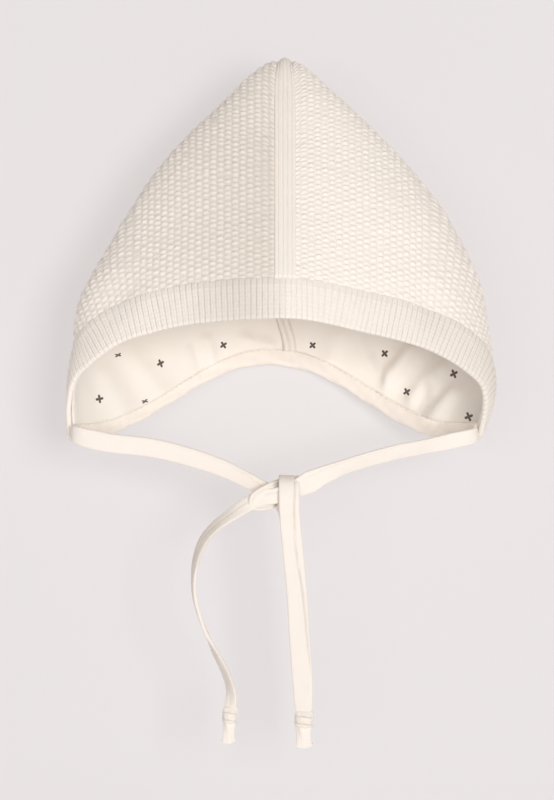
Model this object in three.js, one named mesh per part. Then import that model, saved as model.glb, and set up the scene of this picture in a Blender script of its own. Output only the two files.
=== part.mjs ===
// A knitted baby bonnet with a pointed crown and chin ties, held up as a head holds it.
// Millimetres, +Z up, the face opening towards -Y. The origin is the crown of the head inside.
import * as THREE from 'three';

// Driving sizes. Heights in the tables below are counted from the chin corners.
const seatHeight = 115; // crown of the head above the chin corners
const knitWall = 2.2; // moss stitch and rib
const liningWall = 1.0; // jersey
const wallGap = 0.8; // between knit and lining
const pieceGap = 0.5; // between pieces that meet edge to edge
const bandWidth = 18; // ribbed band round the face
const stripHalfWidth = 4.5; // ribbed strip over the ridge
const stripRise = 0.5; // how far the strip stands above the panels
const bindingWidth = 7; // binding along the neck
const bindingRise = 0.5; // how far the binding stands out of the wall, inside and out
const bandRise = 0.3; // how far the band stands above the panels
const liningSetback = 3; // lining stops this far short of the face edge
const liningParting = 0.7; // half the gap between the two halves of the lining
const napeHeight = 33.5; // neck edge at the centre back
const neckSag = { left: -3, right: 3.5 }; // how far the neck edge hangs below an even curve there
const neckSwing = { left: 1.5, right: 1 }; // and how far more of it hangs near the side folds
const ridgeX = -0.5; // the ridge is this far to the side
const fanStart = 0.5; // columns of knit run straight up for this share of the face edge
const neckCrowding = 0.5; // spacing of the columns at the low end of the side fold
const tent = { front: 0.2, back: 0.1 }; // share of each section that is roof-shaped, not round
const ridgeSoftness = 3; // rounding of that roof's ridge
const widestLevel = 10; // above this row of the table, the hood only gets wider on the way down

// One row for each level of the hood, from the point down to the chin corners:
// how far the side fold is to the left and right of the ridge, and how far the cloth bulges.
const levels = [
  { height: 172.0, left: 0, right: 0, front: 0, back: 0 },
  { height: 170.4, left: 8, right: 7.4, front: 5, back: 5 },
  { height: 165.5, left: 14.6, right: 12.8, front: 9, back: 9.5 },
  { height: 157.5, left: 22.6, right: 20.6, front: 13, back: 14 },
  { height: 148, left: 32.4, right: 31, front: 17.5, back: 19 },
  { height: 137, left: 44, right: 42.4, front: 22, back: 24.5 },
  { height: 122, left: 57.2, right: 56.6, front: 28, back: 31.5 },
  { height: 105, left: 69.2, right: 70.2, front: 34, back: 38.5 },
  { height: 89, left: 78.4, right: 79.2, front: 39.5, back: 45 },
  { height: 73, left: 86.6, right: 87, front: 44, back: 50 },
  { height: 57, left: 92.6, right: 91.6, front: 47, back: 53 },
  { height: 40, left: 95, right: 94, front: 48.5, back: 54.5 },
  { height: 20, left: 96, right: 94, front: 48.5, back: 53.5 },
  { height: 0, left: 95.5, right: 86.8, front: 46, back: 50 },
];

// Lower edge of the band on each side, from the centre front to the chin corner; reach is a
// share of the way from the ridge to the side fold.
const faceEdge = {
  left: [
    { reach: 0, height: 53.4 },
    { reach: 0.41, height: 51.3 },
    { reach: 0.64, height: 47 },
    { reach: 0.78, height: 42.3 },
    { reach: 0.9, height: 33.2 },
    { reach: 0.965, height: 25.8 },
    { reach: 0.995, height: 14.5 },
    { reach: 1, height: 0 },
  ],
  right: [
    { reach: 0, height: 53.4 },
    { reach: 0.41, height: 46.6 },
    { reach: 0.63, height: 41.3 },
    { reach: 0.765, height: 35.6 },
    { reach: 0.86, height: 29.5 },
    { reach: 0.925, height: 23.5 },
    { reach: 0.965, height: 12.5 },
    { reach: 1, height: 0 },
  ],
};

// Soft dents and swells of the cloth: where they are, how deep (out is positive) and how wide.
const dents = [
  { side: -1, share: 0.57, along: 19, depth: -1.8, radius: 9 },
  { side: 1, share: 0.53, along: 19, depth: -1.6, radius: 8 },
  { side: -1, share: 0.66, along: 34, depth: 1.6, radius: 15 },
  { side: -1, share: 0.4, along: 45, depth: -1.0, radius: 18 },
  { side: 1, share: 0.42, along: 60, depth: 1.2, radius: 20 },
  { side: 1, share: 0.75, along: 30, depth: -1.0, radius: 14 },
  { side: -1, share: 0.8, along: 95, depth: -1.6, radius: 18 },
  { side: 1, share: 0.72, along: 100, depth: -1.4, radius: 20 },
];
const rimFlare = { share: 0.62, left: 2.2, right: 0.8 }; // face edge turned outwards at the sides

// Routes of the ties: from a chin corner, through the knot, to the end knot of the tail.
const strapWidth = 8.4;
const strapWall = 1.8;
const leftTieRoute = [
  [-95.4, -5.6, 3.0], [-94.6, -8.0, 2.5], [-92.2, -9.8, 1.8], [-88.4, -10.6, 0.8],
  [-82.6, -10.9, -0.4], [-75.0, -11.0, -1.5], [-67.0, -11.1, -2.4], [-59.0, -11.2, -3.6],
  [-51.0, -11.4, -5.2], [-43.0, -11.6, -7.3], [-35.0, -11.8, -9.9], [-27.0, -12.0, -13.0],
  [-19.0, -12.2, -16.8], [-12.0, -12.6, -20.6], [-6.0, -13.6, -24.2], [-1.2, -14.8, -28.6],
  [1.2, -15.4, -34.0], [2.4, -15.4, -42.0], [3.4, -15.2, -52.0], [4.3, -15.0, -62.0],
  [5.0, -14.8, -72.0], [5.7, -14.6, -82.0], [6.3, -14.5, -92.0], [6.9, -14.4, -102.0],
  [7.5, -14.4, -112.0], [7.9, -14.4, -121.0],
];
const rightTieRoute = [
  [85.2, -6.6, 2.4], [84.4, -8.8, 2.1], [82.2, -10.6, 1.5], [78.6, -11.6, 0.8],
  [73.2, -12.0, -0.3], [66.0, -12.4, -1.8], [58.0, -13.4, -3.4], [50.0, -14.4, -5.0],
  [42.0, -15.4, -6.9], [34.0, -16.4, -9.0], [26.0, -17.4, -11.6], [18.0, -18.2, -14.8],
  [10.0, -18.8, -18.6], [3.0, -19.0, -22.0], [-4.0, -19.2, -24.2], [-11.0, -19.4, -25.4],
  [-17.6, -19.4, -28.6], [-24.4, -18.6, -33.0], [-31.0, -17.6, -37.8], [-36.4, -16.6, -44.0],
  [-39.6, -15.8, -52.0], [-40.9, -15.2, -60.0], [-40.9, -14.8, -68.0], [-38.8, -14.6, -77.0],
  [-35.4, -14.4, -86.0], [-31.0, -14.4, -95.0], [-26.6, -14.4, -104.0], [-24.4, -14.4, -112.0],
  [-24.8, -14.4, -119.0],
];
// First and last points of the strap and of the tail; the stretch between them is in the knot.
const leftTieStrap = [0, 13];
const leftTieTail = [16, 25];
const rightTieStrap = [0, 12];
const rightTieTail = [15, 28];
const chinKnot = { centre: [-0.6, -16.4, -23.6], size: [15.5, 10.5, 13.5] };
const endKnotProfile = [
  { height: 0, radius: 2.3 },
  { height: -2, radius: 3.6 },
  { height: -5, radius: 4.3 },
  { height: -8.5, radius: 3.6 },
  { height: -10.5, radius: 2.6 },
  { height: -13, radius: 3.2 },
  { height: -15.5, radius: 3.7 },
];

// Mesh fineness
const acrossCells = 17; // cells from the ridge to the neck edge
const alongCells = 16; // cells from the band to the back seam
const stripCells = 36; // cells along the strip
const bindingCells = 20; // cells along each half of the binding
const pathSamples = 48; // samples on each leg of a column of knit
const guideSteps = 240; // samples on each guide curve

const cream = { color: 0xf1e9dd, roughness: 0.95, metalness: 0 };
const white = { color: 0xf0ece2, roughness: 0.95, metalness: 0 };

const mix = (a, b, t) => a + (b - a) * t;
const smooth = (t) => t * t * (3 - 2 * t);
const ramp = (value, from, to) => smooth(Math.min(1, Math.max(0, (value - from) / (to - from))));

// Catmull-Rom value of one column of a table, at a fractional row number
function columnAt(rows, name, position, before) {
  const row = Math.min(rows.length - 2, Math.floor(position));
  const t = position - row;
  const last = rows.length - 1;
  const p1 = rows[row][name];
  const p2 = rows[row + 1][name];
  const p0 = row > 0 ? rows[row - 1][name] : before;
  const p3 = row + 2 <= last ? rows[row + 2][name] : 2 * p2 - p1;
  const a = 2 * p1;
  const b = p2 - p0;
  const c = 2 * p0 - 5 * p1 + 4 * p2 - p3;
  const d = 3 * p1 - 3 * p2 + p3 - p0;
  return (a + t * (b + t * (c + t * d))) / 2;
}

// The hood's section at a fractional level; above the point it mirrors, which rounds the point
function levelAt(position, side) {
  const next = levels[1];
  const width = side < 0 ? 'left' : 'right';
  return {
    height: columnAt(levels, 'height', position, next.height),
    halfWidth: Math.max(0, columnAt(levels, width, position, -next[width])),
    front: Math.max(0, columnAt(levels, 'front', position, -next.front)),
    back: Math.max(0, columnAt(levels, 'back', position, -next.back)),
  };
}

// The fractional level where a test turns true, going down, by halving
function levelWhere(test, lowest = levels.length - 1) {
  let low = 0;
  let high = lowest;
  for (let step = 0; step < 36; step += 1) {
    const middle = (low + high) / 2;
    if (test(middle)) high = middle;
    else low = middle;
  }
  return (low + high) / 2;
}
const levelOfHeight = (height) => levelWhere((position) => levelAt(position, 1).height <= height);
const levelOfWidth = (width, side) => (
  levelWhere((position) => levelAt(position, side).halfWidth >= width, widestLevel)
);

// Point of the outer surface: angle 0 is the centre front, PI the centre back
function hoodPoint(side, angle, position) {
  const level = levelAt(position, side);
  const sine = Math.sin(angle);
  const isFront = angle < Math.PI / 2;
  const depth = isFront ? -level.front : level.back;
  const roof = isFront ? tent.front : tent.back;
  const soft = ridgeSoftness / Math.max(level.halfWidth, 1);
  const slope = (Math.hypot(sine, soft) - soft) / (Math.hypot(1, soft) - soft);
  const bulge = Math.abs(Math.cos(angle)) * (1 - roof) + (1 - slope) * roof;
  const x = ridgeX + side * level.halfWidth * sine;
  return new THREE.Vector3(x, depth * bulge, level.height - seatHeight);
}

// Outward normal, from two short steps on the surface
function hoodNormal(side, angle, position) {
  const step = 0.02;
  const row = Math.max(0.03, Math.min(levels.length - 1 - step, position));
  const turn = Math.max(step, Math.min(Math.PI - step, angle));
  const around = hoodPoint(side, turn + step, row).sub(hoodPoint(side, turn - step, row));
  const down = hoodPoint(side, turn, row + step).sub(hoodPoint(side, turn, row - step));
  return down.cross(around).multiplyScalar(side).normalize();
}

// Lengths along a list of points, and the fractional index at a length
function runningLength(points) {
  const lengths = [0];
  for (let i = 1; i < points.length; i += 1) {
    lengths.push(lengths[i - 1] + points[i].distanceTo(points[i - 1]));
  }
  return lengths;
}

function indexAtLength(lengths, length) {
  let i = 1;
  while (i < lengths.length - 1 && lengths[i] < length) i += 1;
  const span = lengths[i] - lengths[i - 1];
  return i - 1 + (span > 0 ? Math.min(1, (length - lengths[i - 1]) / span) : 0);
}

const angleFor = (across, halfWidth) => Math.asin(Math.min(1, across / Math.max(halfWidth, 1e-6)));

// Three guide curves for each side: the face edge, the fold at the side and the back seam
function guideCurves(side) {
  const face = [];
  const fold = [];
  const seam = [];
  const napeLevel = levelOfHeight(napeHeight);
  const edge = side < 0 ? faceEdge.left : faceEdge.right;
  for (let i = 0; i <= guideSteps; i += 1) {
    const share = i / guideSteps;
    const row = share * (edge.length - 1);
    const reach = Math.min(1, columnAt(edge, 'reach', row, -edge[1].reach));
    const height = columnAt(edge, 'height', row, edge[1].height);
    const faceLevel = levelOfHeight(height);
    const across = reach * levelAt(faceLevel, side).halfWidth;
    face.push({ across, height, point: hoodPoint(side, Math.asin(reach), faceLevel) });
    const foldLevel = share * (levels.length - 1);
    fold.push({ level: foldLevel, point: hoodPoint(side, Math.PI / 2, foldLevel) });
    seam.push({ level: share * napeLevel, point: hoodPoint(side, Math.PI, share * napeLevel) });
  }
  const [faceLengths, foldLengths, seamLengths] = [face, fold, seam].map((rows) => (
    runningLength(rows.map((row) => row.point))
  ));
  return { face, fold, seam, faceLengths, foldLengths, seamLengths };
}
const guides = { '-1': guideCurves(-1), 1: guideCurves(1) };
const faceLength = guides[1].faceLengths[guideSteps];

// Value of a column of guide rows at a share of the curve's length
function onGuide(rows, lengths, name, share) {
  const index = indexAtLength(lengths, share * lengths[lengths.length - 1]);
  const i = Math.min(rows.length - 2, Math.floor(index));
  return mix(rows[i][name], rows[i + 1][name], index - i);
}

// Level at which a column of knit crosses the side fold: straight above its start near the
// ridge, and further out spread down the rest of the fold, closer together at its end
function foldLevelAt(share, side) {
  const { face, faceLengths, fold, foldLengths } = guides[side];
  const across = onGuide(face, faceLengths, 'across', Math.min(share, fanStart));
  const crossing = levelOfWidth(across, side);
  if (share <= fanStart) return crossing;
  const crossingStep = Math.round((crossing / (levels.length - 1)) * guideSteps);
  const crossingShare = foldLengths[crossingStep] / foldLengths[guideSteps];
  const left = (1 - share) / (1 - fanStart);
  const spread = left * mix(neckCrowding, 1, left);
  return onGuide(fold, foldLengths, 'level', mix(1, crossingShare, spread));
}

// The path of one column of knit: up the front, over the side fold, across the back to the seam
function knitColumn(side, share) {
  const { face, faceLengths, seam, seamLengths } = guides[side];
  const startAcross = onGuide(face, faceLengths, 'across', share);
  const startHeight = onGuide(face, faceLengths, 'height', share);
  const fold = levelAt(foldLevelAt(share, side), side);
  const endHeight = levelAt(onGuide(seam, seamLengths, 'level', share), side).height;
  const sag = (side < 0 ? neckSag.left : neckSag.right) * share ** 3;
  const swing = (side < 0 ? neckSwing.left : neckSwing.right) * share ** 3;
  const samples = [];
  const addSample = (across, height, isBack) => {
    const level = levelOfHeight(height);
    const turn = angleFor(across, levelAt(level, side).halfWidth);
    samples.push({ across, level, angle: isBack ? Math.PI - turn : turn });
  };
  for (let i = 0; i < pathSamples; i += 1) {
    const t = 1 - (1 - i / pathSamples) ** 2;
    addSample(mix(startAcross, fold.halfWidth, t), mix(startHeight, fold.height, t), false);
  }
  for (let i = 0; i <= pathSamples; i += 1) {
    const t = (i / pathSamples) ** 2;
    const hang = sag * Math.sin(Math.PI * t) + swing * Math.sin(2 * Math.PI * t);
    addSample(mix(fold.halfWidth, 0, t), mix(fold.height, endHeight, smooth(t)) - hang, true);
  }
  samples[pathSamples].angle = Math.PI / 2;
  const lengths = runningLength(samples.map((sample) => hoodPoint(side, sample.angle, sample.level)));
  // length at which the back leg comes within a distance of the centre
  const lengthAtAcross = (across) => {
    let i = pathSamples;
    while (i < samples.length - 1 && samples[i].across > across) i += 1;
    if (i === pathSamples) return lengths[i];
    const t = (samples[i - 1].across - across) / (samples[i - 1].across - samples[i].across);
    return mix(lengths[i - 1], lengths[i], t);
  };
  const at = (distance) => {
    const index = indexAtLength(lengths, distance);
    const i = Math.min(samples.length - 2, Math.floor(index));
    const angle = mix(samples[i].angle, samples[i + 1].angle, index - i);
    return { angle, level: mix(samples[i].level, samples[i + 1].level, index - i) };
  };
  return { length: lengths[lengths.length - 1], lengthAtAcross, at };
}

// How far the cloth stands out of the plain surface
function swell(side, share, along) {
  let offset = 0;
  for (const dent of dents) {
    if (dent.side !== side) continue;
    const far = Math.hypot((share - dent.share) * faceLength, along - dent.along) / dent.radius;
    offset += dent.depth * Math.exp(-far * far);
  }
  const flare = side < 0 ? rimFlare.left : rimFlare.right;
  const nearEdge = 1 - ramp(along, 0, bandWidth * 1.2);
  return offset + flare * nearEdge * ramp(share, rimFlare.share - 0.15, rimFlare.share + 0.15);
}

// Point and normal of the cloth at a place on the surface
function clothPoint(side, place, offset) {
  const normal = hoodNormal(side, place.angle, place.level);
  return { point: hoodPoint(side, place.angle, place.level).addScaledVector(normal, offset), normal };
}

// A grid of cloth points over one side, at distances along each column of knit
function clothGrid(side, shares, alongs) {
  return shares.map((share) => {
    const column = knitColumn(side, share);
    const distances = alongs(column);
    return distances.map((distance) => (
      clothPoint(side, column.at(distance), swell(side, share, distance))
    ));
  });
}

const spaced = (from, to, cells) => Array.from({ length: cells + 1 }, (_, i) => mix(from, to, i / cells));

// A closed wall between two offsets of a grid
function wallGeometry(grid, outer, inner, flip) {
  const columns = grid.length;
  const rows = grid[0].length;
  const positions = [];
  for (const offset of [outer, inner]) {
    for (const column of grid) {
      for (const { point, normal } of column) {
        const moved = point.clone().addScaledVector(normal, offset);
        positions.push(moved.x, moved.y, moved.z);
      }
    }
  }
  const index = [];
  const layer = columns * rows;
  const face = (a, b, c) => (flip ? index.push(a, c, b) : index.push(a, b, c));
  const quad = (a, b, c, d) => {
    face(a, b, d);
    face(b, c, d);
  };
  for (let i = 0; i < columns - 1; i += 1) {
    for (let j = 0; j < rows - 1; j += 1) {
      const a = i * rows + j;
      quad(a, a + rows, a + rows + 1, a + 1);
      face(layer + a, layer + a + 1, layer + a + rows);
      face(layer + a + rows, layer + a + 1, layer + a + rows + 1);
    }
  }
  const side = (a, b) => quad(a, a + layer, b + layer, b);
  for (let i = 0; i < columns - 1; i += 1) {
    side(i * rows, (i + 1) * rows);
    side((i + 1) * rows + rows - 1, i * rows + rows - 1);
  }
  for (let j = 0; j < rows - 1; j += 1) {
    side(j + 1, j);
    side((columns - 1) * rows + j, (columns - 1) * rows + j + 1);
  }
  const geometry = new THREE.BufferGeometry();
  geometry.setAttribute('position', new THREE.Float32BufferAttribute(positions, 3));
  geometry.setIndex(index);
  geometry.computeVertexNormals();
  return geometry;
}

function piece(name, geometry, finish) {
  const mesh = new THREE.Mesh(geometry, new THREE.MeshStandardMaterial(finish));
  mesh.name = name;
  return mesh;
}

const stripShare = (stripHalfWidth + pieceGap) / faceLength;
const neckShare = 1 - (bindingWidth + pieceGap) / faceLength;
const bonnet = new THREE.Group();

// Moss-stitch panels, one on each side of the strip
const panelShares = spaced(stripShare, neckShare, acrossCells);
const panelRows = (from, to) => spaced(from, to, alongCells);
function panel(side) {
  const grid = clothGrid(side, panelShares, (column) => {
    const end = column.lengthAtAcross(stripHalfWidth + pieceGap);
    return panelRows(bandWidth + pieceGap, end);
  });
  return wallGeometry(grid, 0, -knitWall, side < 0);
}
bonnet.add(piece('panel_left', panel(-1), cream));
bonnet.add(piece('panel_right', panel(1), cream));

// Jersey lining, one half on each side of the ridge, behind the panels, the strip and the band
function lining(side) {
  const grid = clothGrid(side, [liningParting / faceLength, ...panelShares], (column) => {
    const end = column.lengthAtAcross(liningParting);
    const besideStrip = Math.min(column.lengthAtAcross(stripHalfWidth + pieceGap), end - stripHalfWidth);
    const behindBand = [liningSetback, bandWidth / 3, (bandWidth * 2) / 3];
    return [...behindBand, ...panelRows(bandWidth + pieceGap, besideStrip), end];
  });
  const outer = -knitWall - wallGap;
  return wallGeometry(grid, outer, outer - liningWall, side < 0);
}
bonnet.add(piece('lining_left', lining(-1), white));
bonnet.add(piece('lining_right', lining(1), white));

// Both sides as one run of columns, from the left chin corner to the right one; the first share
// is the ridge's own
function wholeRun(shares, alongs) {
  const left = clothGrid(-1, [...shares].reverse(), alongs);
  const right = clothGrid(1, shares.slice(1), alongs);
  return [...left, ...right];
}

// Ribbed band round the face
const bandGrid = wholeRun([0, ...panelShares], () => spaced(0, bandWidth, 3));
bonnet.add(piece('front_band', wallGeometry(bandGrid, bandRise, bandRise - knitWall, false), cream));

// Ribbed strip: up the ridge, over the point and down the centre back
function crownStrip() {
  const bandTop = hoodPoint(1, 0, knitColumn(1, 0).at(bandWidth + pieceGap).level).z + seatHeight;
  const seamEnd = onGuide(guides[1].seam, guides[1].seamLengths, 'level', neckShare);
  const startLevel = levelOfHeight(bandTop);
  const grid = [];
  for (const part of [-1, -0.5, 0, 0.5, 1]) {
    const side = part < 0 ? -1 : 1;
    const across = Math.abs(part) * stripHalfWidth;
    const topLevel = levelOfWidth(across, side);
    const places = [];
    for (const level of spaced(startLevel, topLevel, pathSamples)) {
      places.push({ level, angle: angleFor(across, levelAt(level, side).halfWidth) });
    }
    for (const level of spaced(topLevel, seamEnd, pathSamples).slice(1)) {
      places.push({ level, angle: Math.PI - angleFor(across, levelAt(level, side).halfWidth) });
    }
    const lengths = runningLength(places.map((place) => hoodPoint(side, place.angle, place.level)));
    const line = spaced(0, lengths[lengths.length - 1], stripCells).map((distance) => {
      const index = indexAtLength(lengths, distance);
      const i = Math.min(places.length - 2, Math.floor(index));
      const angle = mix(places[i].angle, places[i + 1].angle, index - i);
      return clothPoint(side, { angle, level: mix(places[i].level, places[i + 1].level, index - i) }, 0);
    });
    grid.push(line);
  }
  return wallGeometry(grid, stripRise, stripRise - knitWall, false);
}
bonnet.add(piece('crown_strip', crownStrip(), cream));

// Binding along the neck edge, from one chin corner to the other
function neckBinding() {
  const shares = [1 - bindingWidth / faceLength, 1 - bindingWidth / faceLength / 2, 1];
  const rowsOf = (side) => {
    const columns = shares.map((share) => knitColumn(side, share));
    return spaced(0, 1, bindingCells).map((part) => columns.map((column, i) => {
      const distance = part * column.length;
      return clothPoint(side, column.at(distance), swell(side, shares[i], distance));
    }));
  };
  const grid = [...rowsOf(-1), ...rowsOf(1).reverse().slice(1)];
  const inside = -knitWall - wallGap - liningWall - bindingRise;
  return wallGeometry(grid, bindingRise, inside, false);
}
bonnet.add(piece('neck_binding', neckBinding(), cream));

// A flat strap along part of a route. An upright one has its width along the sweep's first
// axis, which is the vertical one where a route starts towards the face.
const onSeat = ([x, y, height]) => new THREE.Vector3(x, y, height - seatHeight);
function strap(route, [first, last], isUpright) {
  const path = new THREE.CatmullRomCurve3(route.slice(first, last + 1).map(onSeat));
  const halfWall = strapWall / 2;
  const halfWidth = strapWidth / 2;
  const outline = [
    [halfWall, halfWall - halfWidth],
    [halfWall, halfWidth - halfWall],
    [halfWall / 2, halfWidth],
    [-halfWall / 2, halfWidth],
    [-halfWall, halfWidth - halfWall],
    [-halfWall, halfWall - halfWidth],
    [-halfWall / 2, -halfWidth],
    [halfWall / 2, -halfWidth],
  ];
  const corners = outline.map(([thick, wide]) => (
    isUpright ? new THREE.Vector2(wide, thick) : new THREE.Vector2(thick, wide)
  ));
  const steps = 2 * (last - first);
  return new THREE.ExtrudeGeometry(new THREE.Shape(corners), { steps, extrudePath: path });
}
bonnet.add(piece('tie_left', strap(leftTieRoute, leftTieStrap, true), cream));
bonnet.add(piece('tie_right', strap(rightTieRoute, rightTieStrap, true), cream));
bonnet.add(piece('tail_straight', strap(leftTieRoute, leftTieTail, false), cream));
bonnet.add(piece('tail_curved', strap(rightTieRoute, rightTieTail, false), cream));

// The knot under the chin
const knotMesh = piece('chin_knot', new THREE.SphereGeometry(0.5, 16, 10), cream);
knotMesh.scale.set(...chinKnot.size);
knotMesh.position.copy(onSeat(chinKnot.centre));
bonnet.add(knotMesh);

// The knot at the end of a tail, with its small flared tip
function endKnot(name, route) {
  const profile = [new THREE.Vector2(0, 0)];
  for (const { radius, height } of endKnotProfile) profile.push(new THREE.Vector2(radius, height));
  profile.push(new THREE.Vector2(0, endKnotProfile[endKnotProfile.length - 1].height));
  const mesh = piece(name, new THREE.LatheGeometry(profile.reverse(), 14), cream);
  mesh.position.copy(onSeat(route[route.length - 1]));
  mesh.position.z -= pieceGap;
  mesh.rotation.x = Math.PI / 2;
  return mesh;
}
bonnet.add(endKnot('end_knot_straight', leftTieRoute));
bonnet.add(endKnot('end_knot_curved', rightTieRoute));

export default bonnet;
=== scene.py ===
import math

import bpy
import numpy as np
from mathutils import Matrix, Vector


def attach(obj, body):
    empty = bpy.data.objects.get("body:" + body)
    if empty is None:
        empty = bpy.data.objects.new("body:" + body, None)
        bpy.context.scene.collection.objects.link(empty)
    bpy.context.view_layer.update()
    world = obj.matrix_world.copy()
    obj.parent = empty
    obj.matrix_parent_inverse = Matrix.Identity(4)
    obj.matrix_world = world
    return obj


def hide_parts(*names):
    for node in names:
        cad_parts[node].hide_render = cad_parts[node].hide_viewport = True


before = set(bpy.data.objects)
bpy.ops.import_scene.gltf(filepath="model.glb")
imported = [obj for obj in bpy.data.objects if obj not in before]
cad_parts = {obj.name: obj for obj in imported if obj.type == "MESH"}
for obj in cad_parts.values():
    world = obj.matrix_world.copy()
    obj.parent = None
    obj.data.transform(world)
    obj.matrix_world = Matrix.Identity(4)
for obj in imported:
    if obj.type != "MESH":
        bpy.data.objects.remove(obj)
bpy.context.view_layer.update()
print("frame loaded")

# Lengths in the dictionaries are millimetres unless they say otherwise; meshes are made in metres.
mm = 0.001
seatHeight = 115  # the origin, at the crown of the head, is this far above the chin corners

hood = {
    "wall": 2.2,  # knitted wall
    "bandWidth": 18,
    "stripHalfWidth": 4.5,
    "bindingWidth": 7,
    "napeHeight": 33.5,
    "ridgeX": -0.5,
    "fanStart": 0.5,  # columns of knit run straight up for this share of the face edge
    "neckCrowding": 0.5,  # spacing of the columns at the low end of the side fold
    "roofFront": 0.2,  # share of each section that is roof-shaped
    "roofBack": 0.1,
    "ridgeSoftness": 3,
    "widestLevel": 10,
    "overlap": 0.8,  # how far a piece goes in under the one beside it
    "pathSamples": 72,
    "guideSteps": 480,
}

# One row for each level of the hood, from the point down: height above the chin corners, how far
# the side fold is to the left and right of the ridge, how far the cloth bulges to front and back.
levelRows = np.array([
    # height, left, right, front, back
    (172.0, 0, 0, 0, 0),
    (170.4, 8, 7.4, 5, 5),
    (165.5, 14.6, 12.8, 9, 9.5),
    (157.5, 22.6, 20.6, 13, 14),
    (148, 32.4, 31, 17.5, 19),
    (137, 44, 42.4, 22, 24.5),
    (122, 57.2, 56.6, 28, 31.5),
    (105, 69.2, 70.2, 34, 38.5),
    (89, 78.4, 79.2, 39.5, 45),
    (73, 86.6, 87, 44, 50),
    (57, 92.6, 91.6, 47, 53),
    (40, 95, 94, 48.5, 54.5),
    (20, 96, 94, 48.5, 53.5),
    (0, 95.5, 86.8, 46, 50),
])
heightColumn, leftColumn, rightColumn, frontColumn, backColumn = range(5)

# Lower edge of the band on each side: share of the way from the ridge to the side fold, and height
faceRows = {
    -1: np.array([(0, 53.4), (0.41, 51.3), (0.64, 47), (0.78, 42.3), (0.9, 33.2), (0.965, 25.8),
                  (0.995, 14.5), (1, 0)]),
    1: np.array([(0, 53.4), (0.41, 46.6), (0.63, 41.3), (0.765, 35.6), (0.86, 29.5), (0.925, 23.5),
                 (0.965, 12.5), (1, 0)]),
}
neckSag = {-1: -3, 1: 3.5}  # how far the neck edge hangs below an even curve on each side
neckSwing = {-1: 1.5, 1: 1}  # and how far more of it hangs near the side folds

# Soft dents and swells of the cloth: side, share of the face edge, distance along, depth, radius
dentRows = [
    (-1, 0.57, 19, -1.8, 9), (1, 0.53, 19, -1.6, 8), (-1, 0.66, 34, 1.6, 15), (-1, 0.4, 45, -1.0, 18),
    (1, 0.42, 60, 1.2, 20), (1, 0.75, 30, -1.0, 14), (-1, 0.8, 95, -1.6, 18), (1, 0.72, 100, -1.4, 20),
]
rimFlare = {"share": 0.62, "left": 2.2, "right": 0.8}


def mix(a, b, t):
    return a + (b - a) * t


def smooth(t):
    return t * t * (3 - 2 * t)


def ramp(value, start, end):
    return smooth(np.clip((value - start) / (end - start), 0, 1))


# 1 at zero, fading to both sides over about one unit
def hump(value):
    return np.exp(-value * value)


def unit(vectors):
    return vectors / np.linalg.norm(vectors, axis=-1, keepdims=True)


# Value of a two-column table at each place
def tableAt(rows, places):
    return np.interp(places, *np.array(rows, float).T)


# Catmull-Rom through one column of a table
def columnAt(values, position, before):
    position = np.asarray(position, float)
    row = np.clip(np.floor(position).astype(int), 0, len(values) - 2)
    t = position - row
    padded = np.concatenate([[before], values, [2 * values[-1] - values[-2]]])
    p0, p1, p2, p3 = (padded[row + k] for k in range(4))
    bend = 2 * p0 - 5 * p1 + 4 * p2 - p3 + t * (3 * p1 - 3 * p2 + p3 - p0)
    return (2 * p1 + t * (p2 - p0 + t * bend)) / 2


def levelAt(position, side):
    width = leftColumn if side < 0 else rightColumn
    row = levelRows[1]
    height = columnAt(levelRows[:, heightColumn], position, row[heightColumn])
    sizes = [columnAt(levelRows[:, c], position, -row[c]) for c in (width, frontColumn, backColumn)]
    return height, *np.maximum(0, sizes)


fineLevels = np.linspace(0, len(levelRows) - 1, 5201)
fineHeights = levelAt(fineLevels, 1)[0]


def levelOfHeight(height):
    return np.interp(-np.asarray(height, float), -fineHeights, fineLevels)


def levelOfWidth(width, side):
    upper = fineLevels <= hood["widestLevel"]
    return np.interp(width, levelAt(fineLevels[upper], side)[1], fineLevels[upper])


def hoodPoint(side, angle, position):
    height, width, front, back = levelAt(position, side)
    sine = np.sin(angle)
    isFront = angle < math.pi / 2
    depth = np.where(isFront, -front, back)
    roof = np.where(isFront, hood["roofFront"], hood["roofBack"])
    soft = hood["ridgeSoftness"] / np.maximum(width, 1)
    slope = (np.hypot(sine, soft) - soft) / (np.hypot(1, soft) - soft)
    bulge = np.abs(np.cos(angle)) * (1 - roof) + (1 - slope) * roof
    return np.stack([hood["ridgeX"] + side * width * sine, depth * bulge, height - seatHeight], -1)


def hoodNormal(side, angle, position):
    step = 0.02
    row = np.clip(position, 0.03, len(levelRows) - 1 - step)
    turn = np.clip(angle, step, math.pi - step)
    around = hoodPoint(side, turn + step, row) - hoodPoint(side, turn - step, row)
    down = hoodPoint(side, turn, row + step) - hoodPoint(side, turn, row - step)
    return unit(np.cross(down, around) * side)


def runningLength(points):
    steps = np.linalg.norm(np.diff(points, axis=-2), axis=-1)
    zero = np.zeros(steps.shape[:-1] + (1,))
    return np.concatenate([zero, np.cumsum(steps, -1)], -1)


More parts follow.
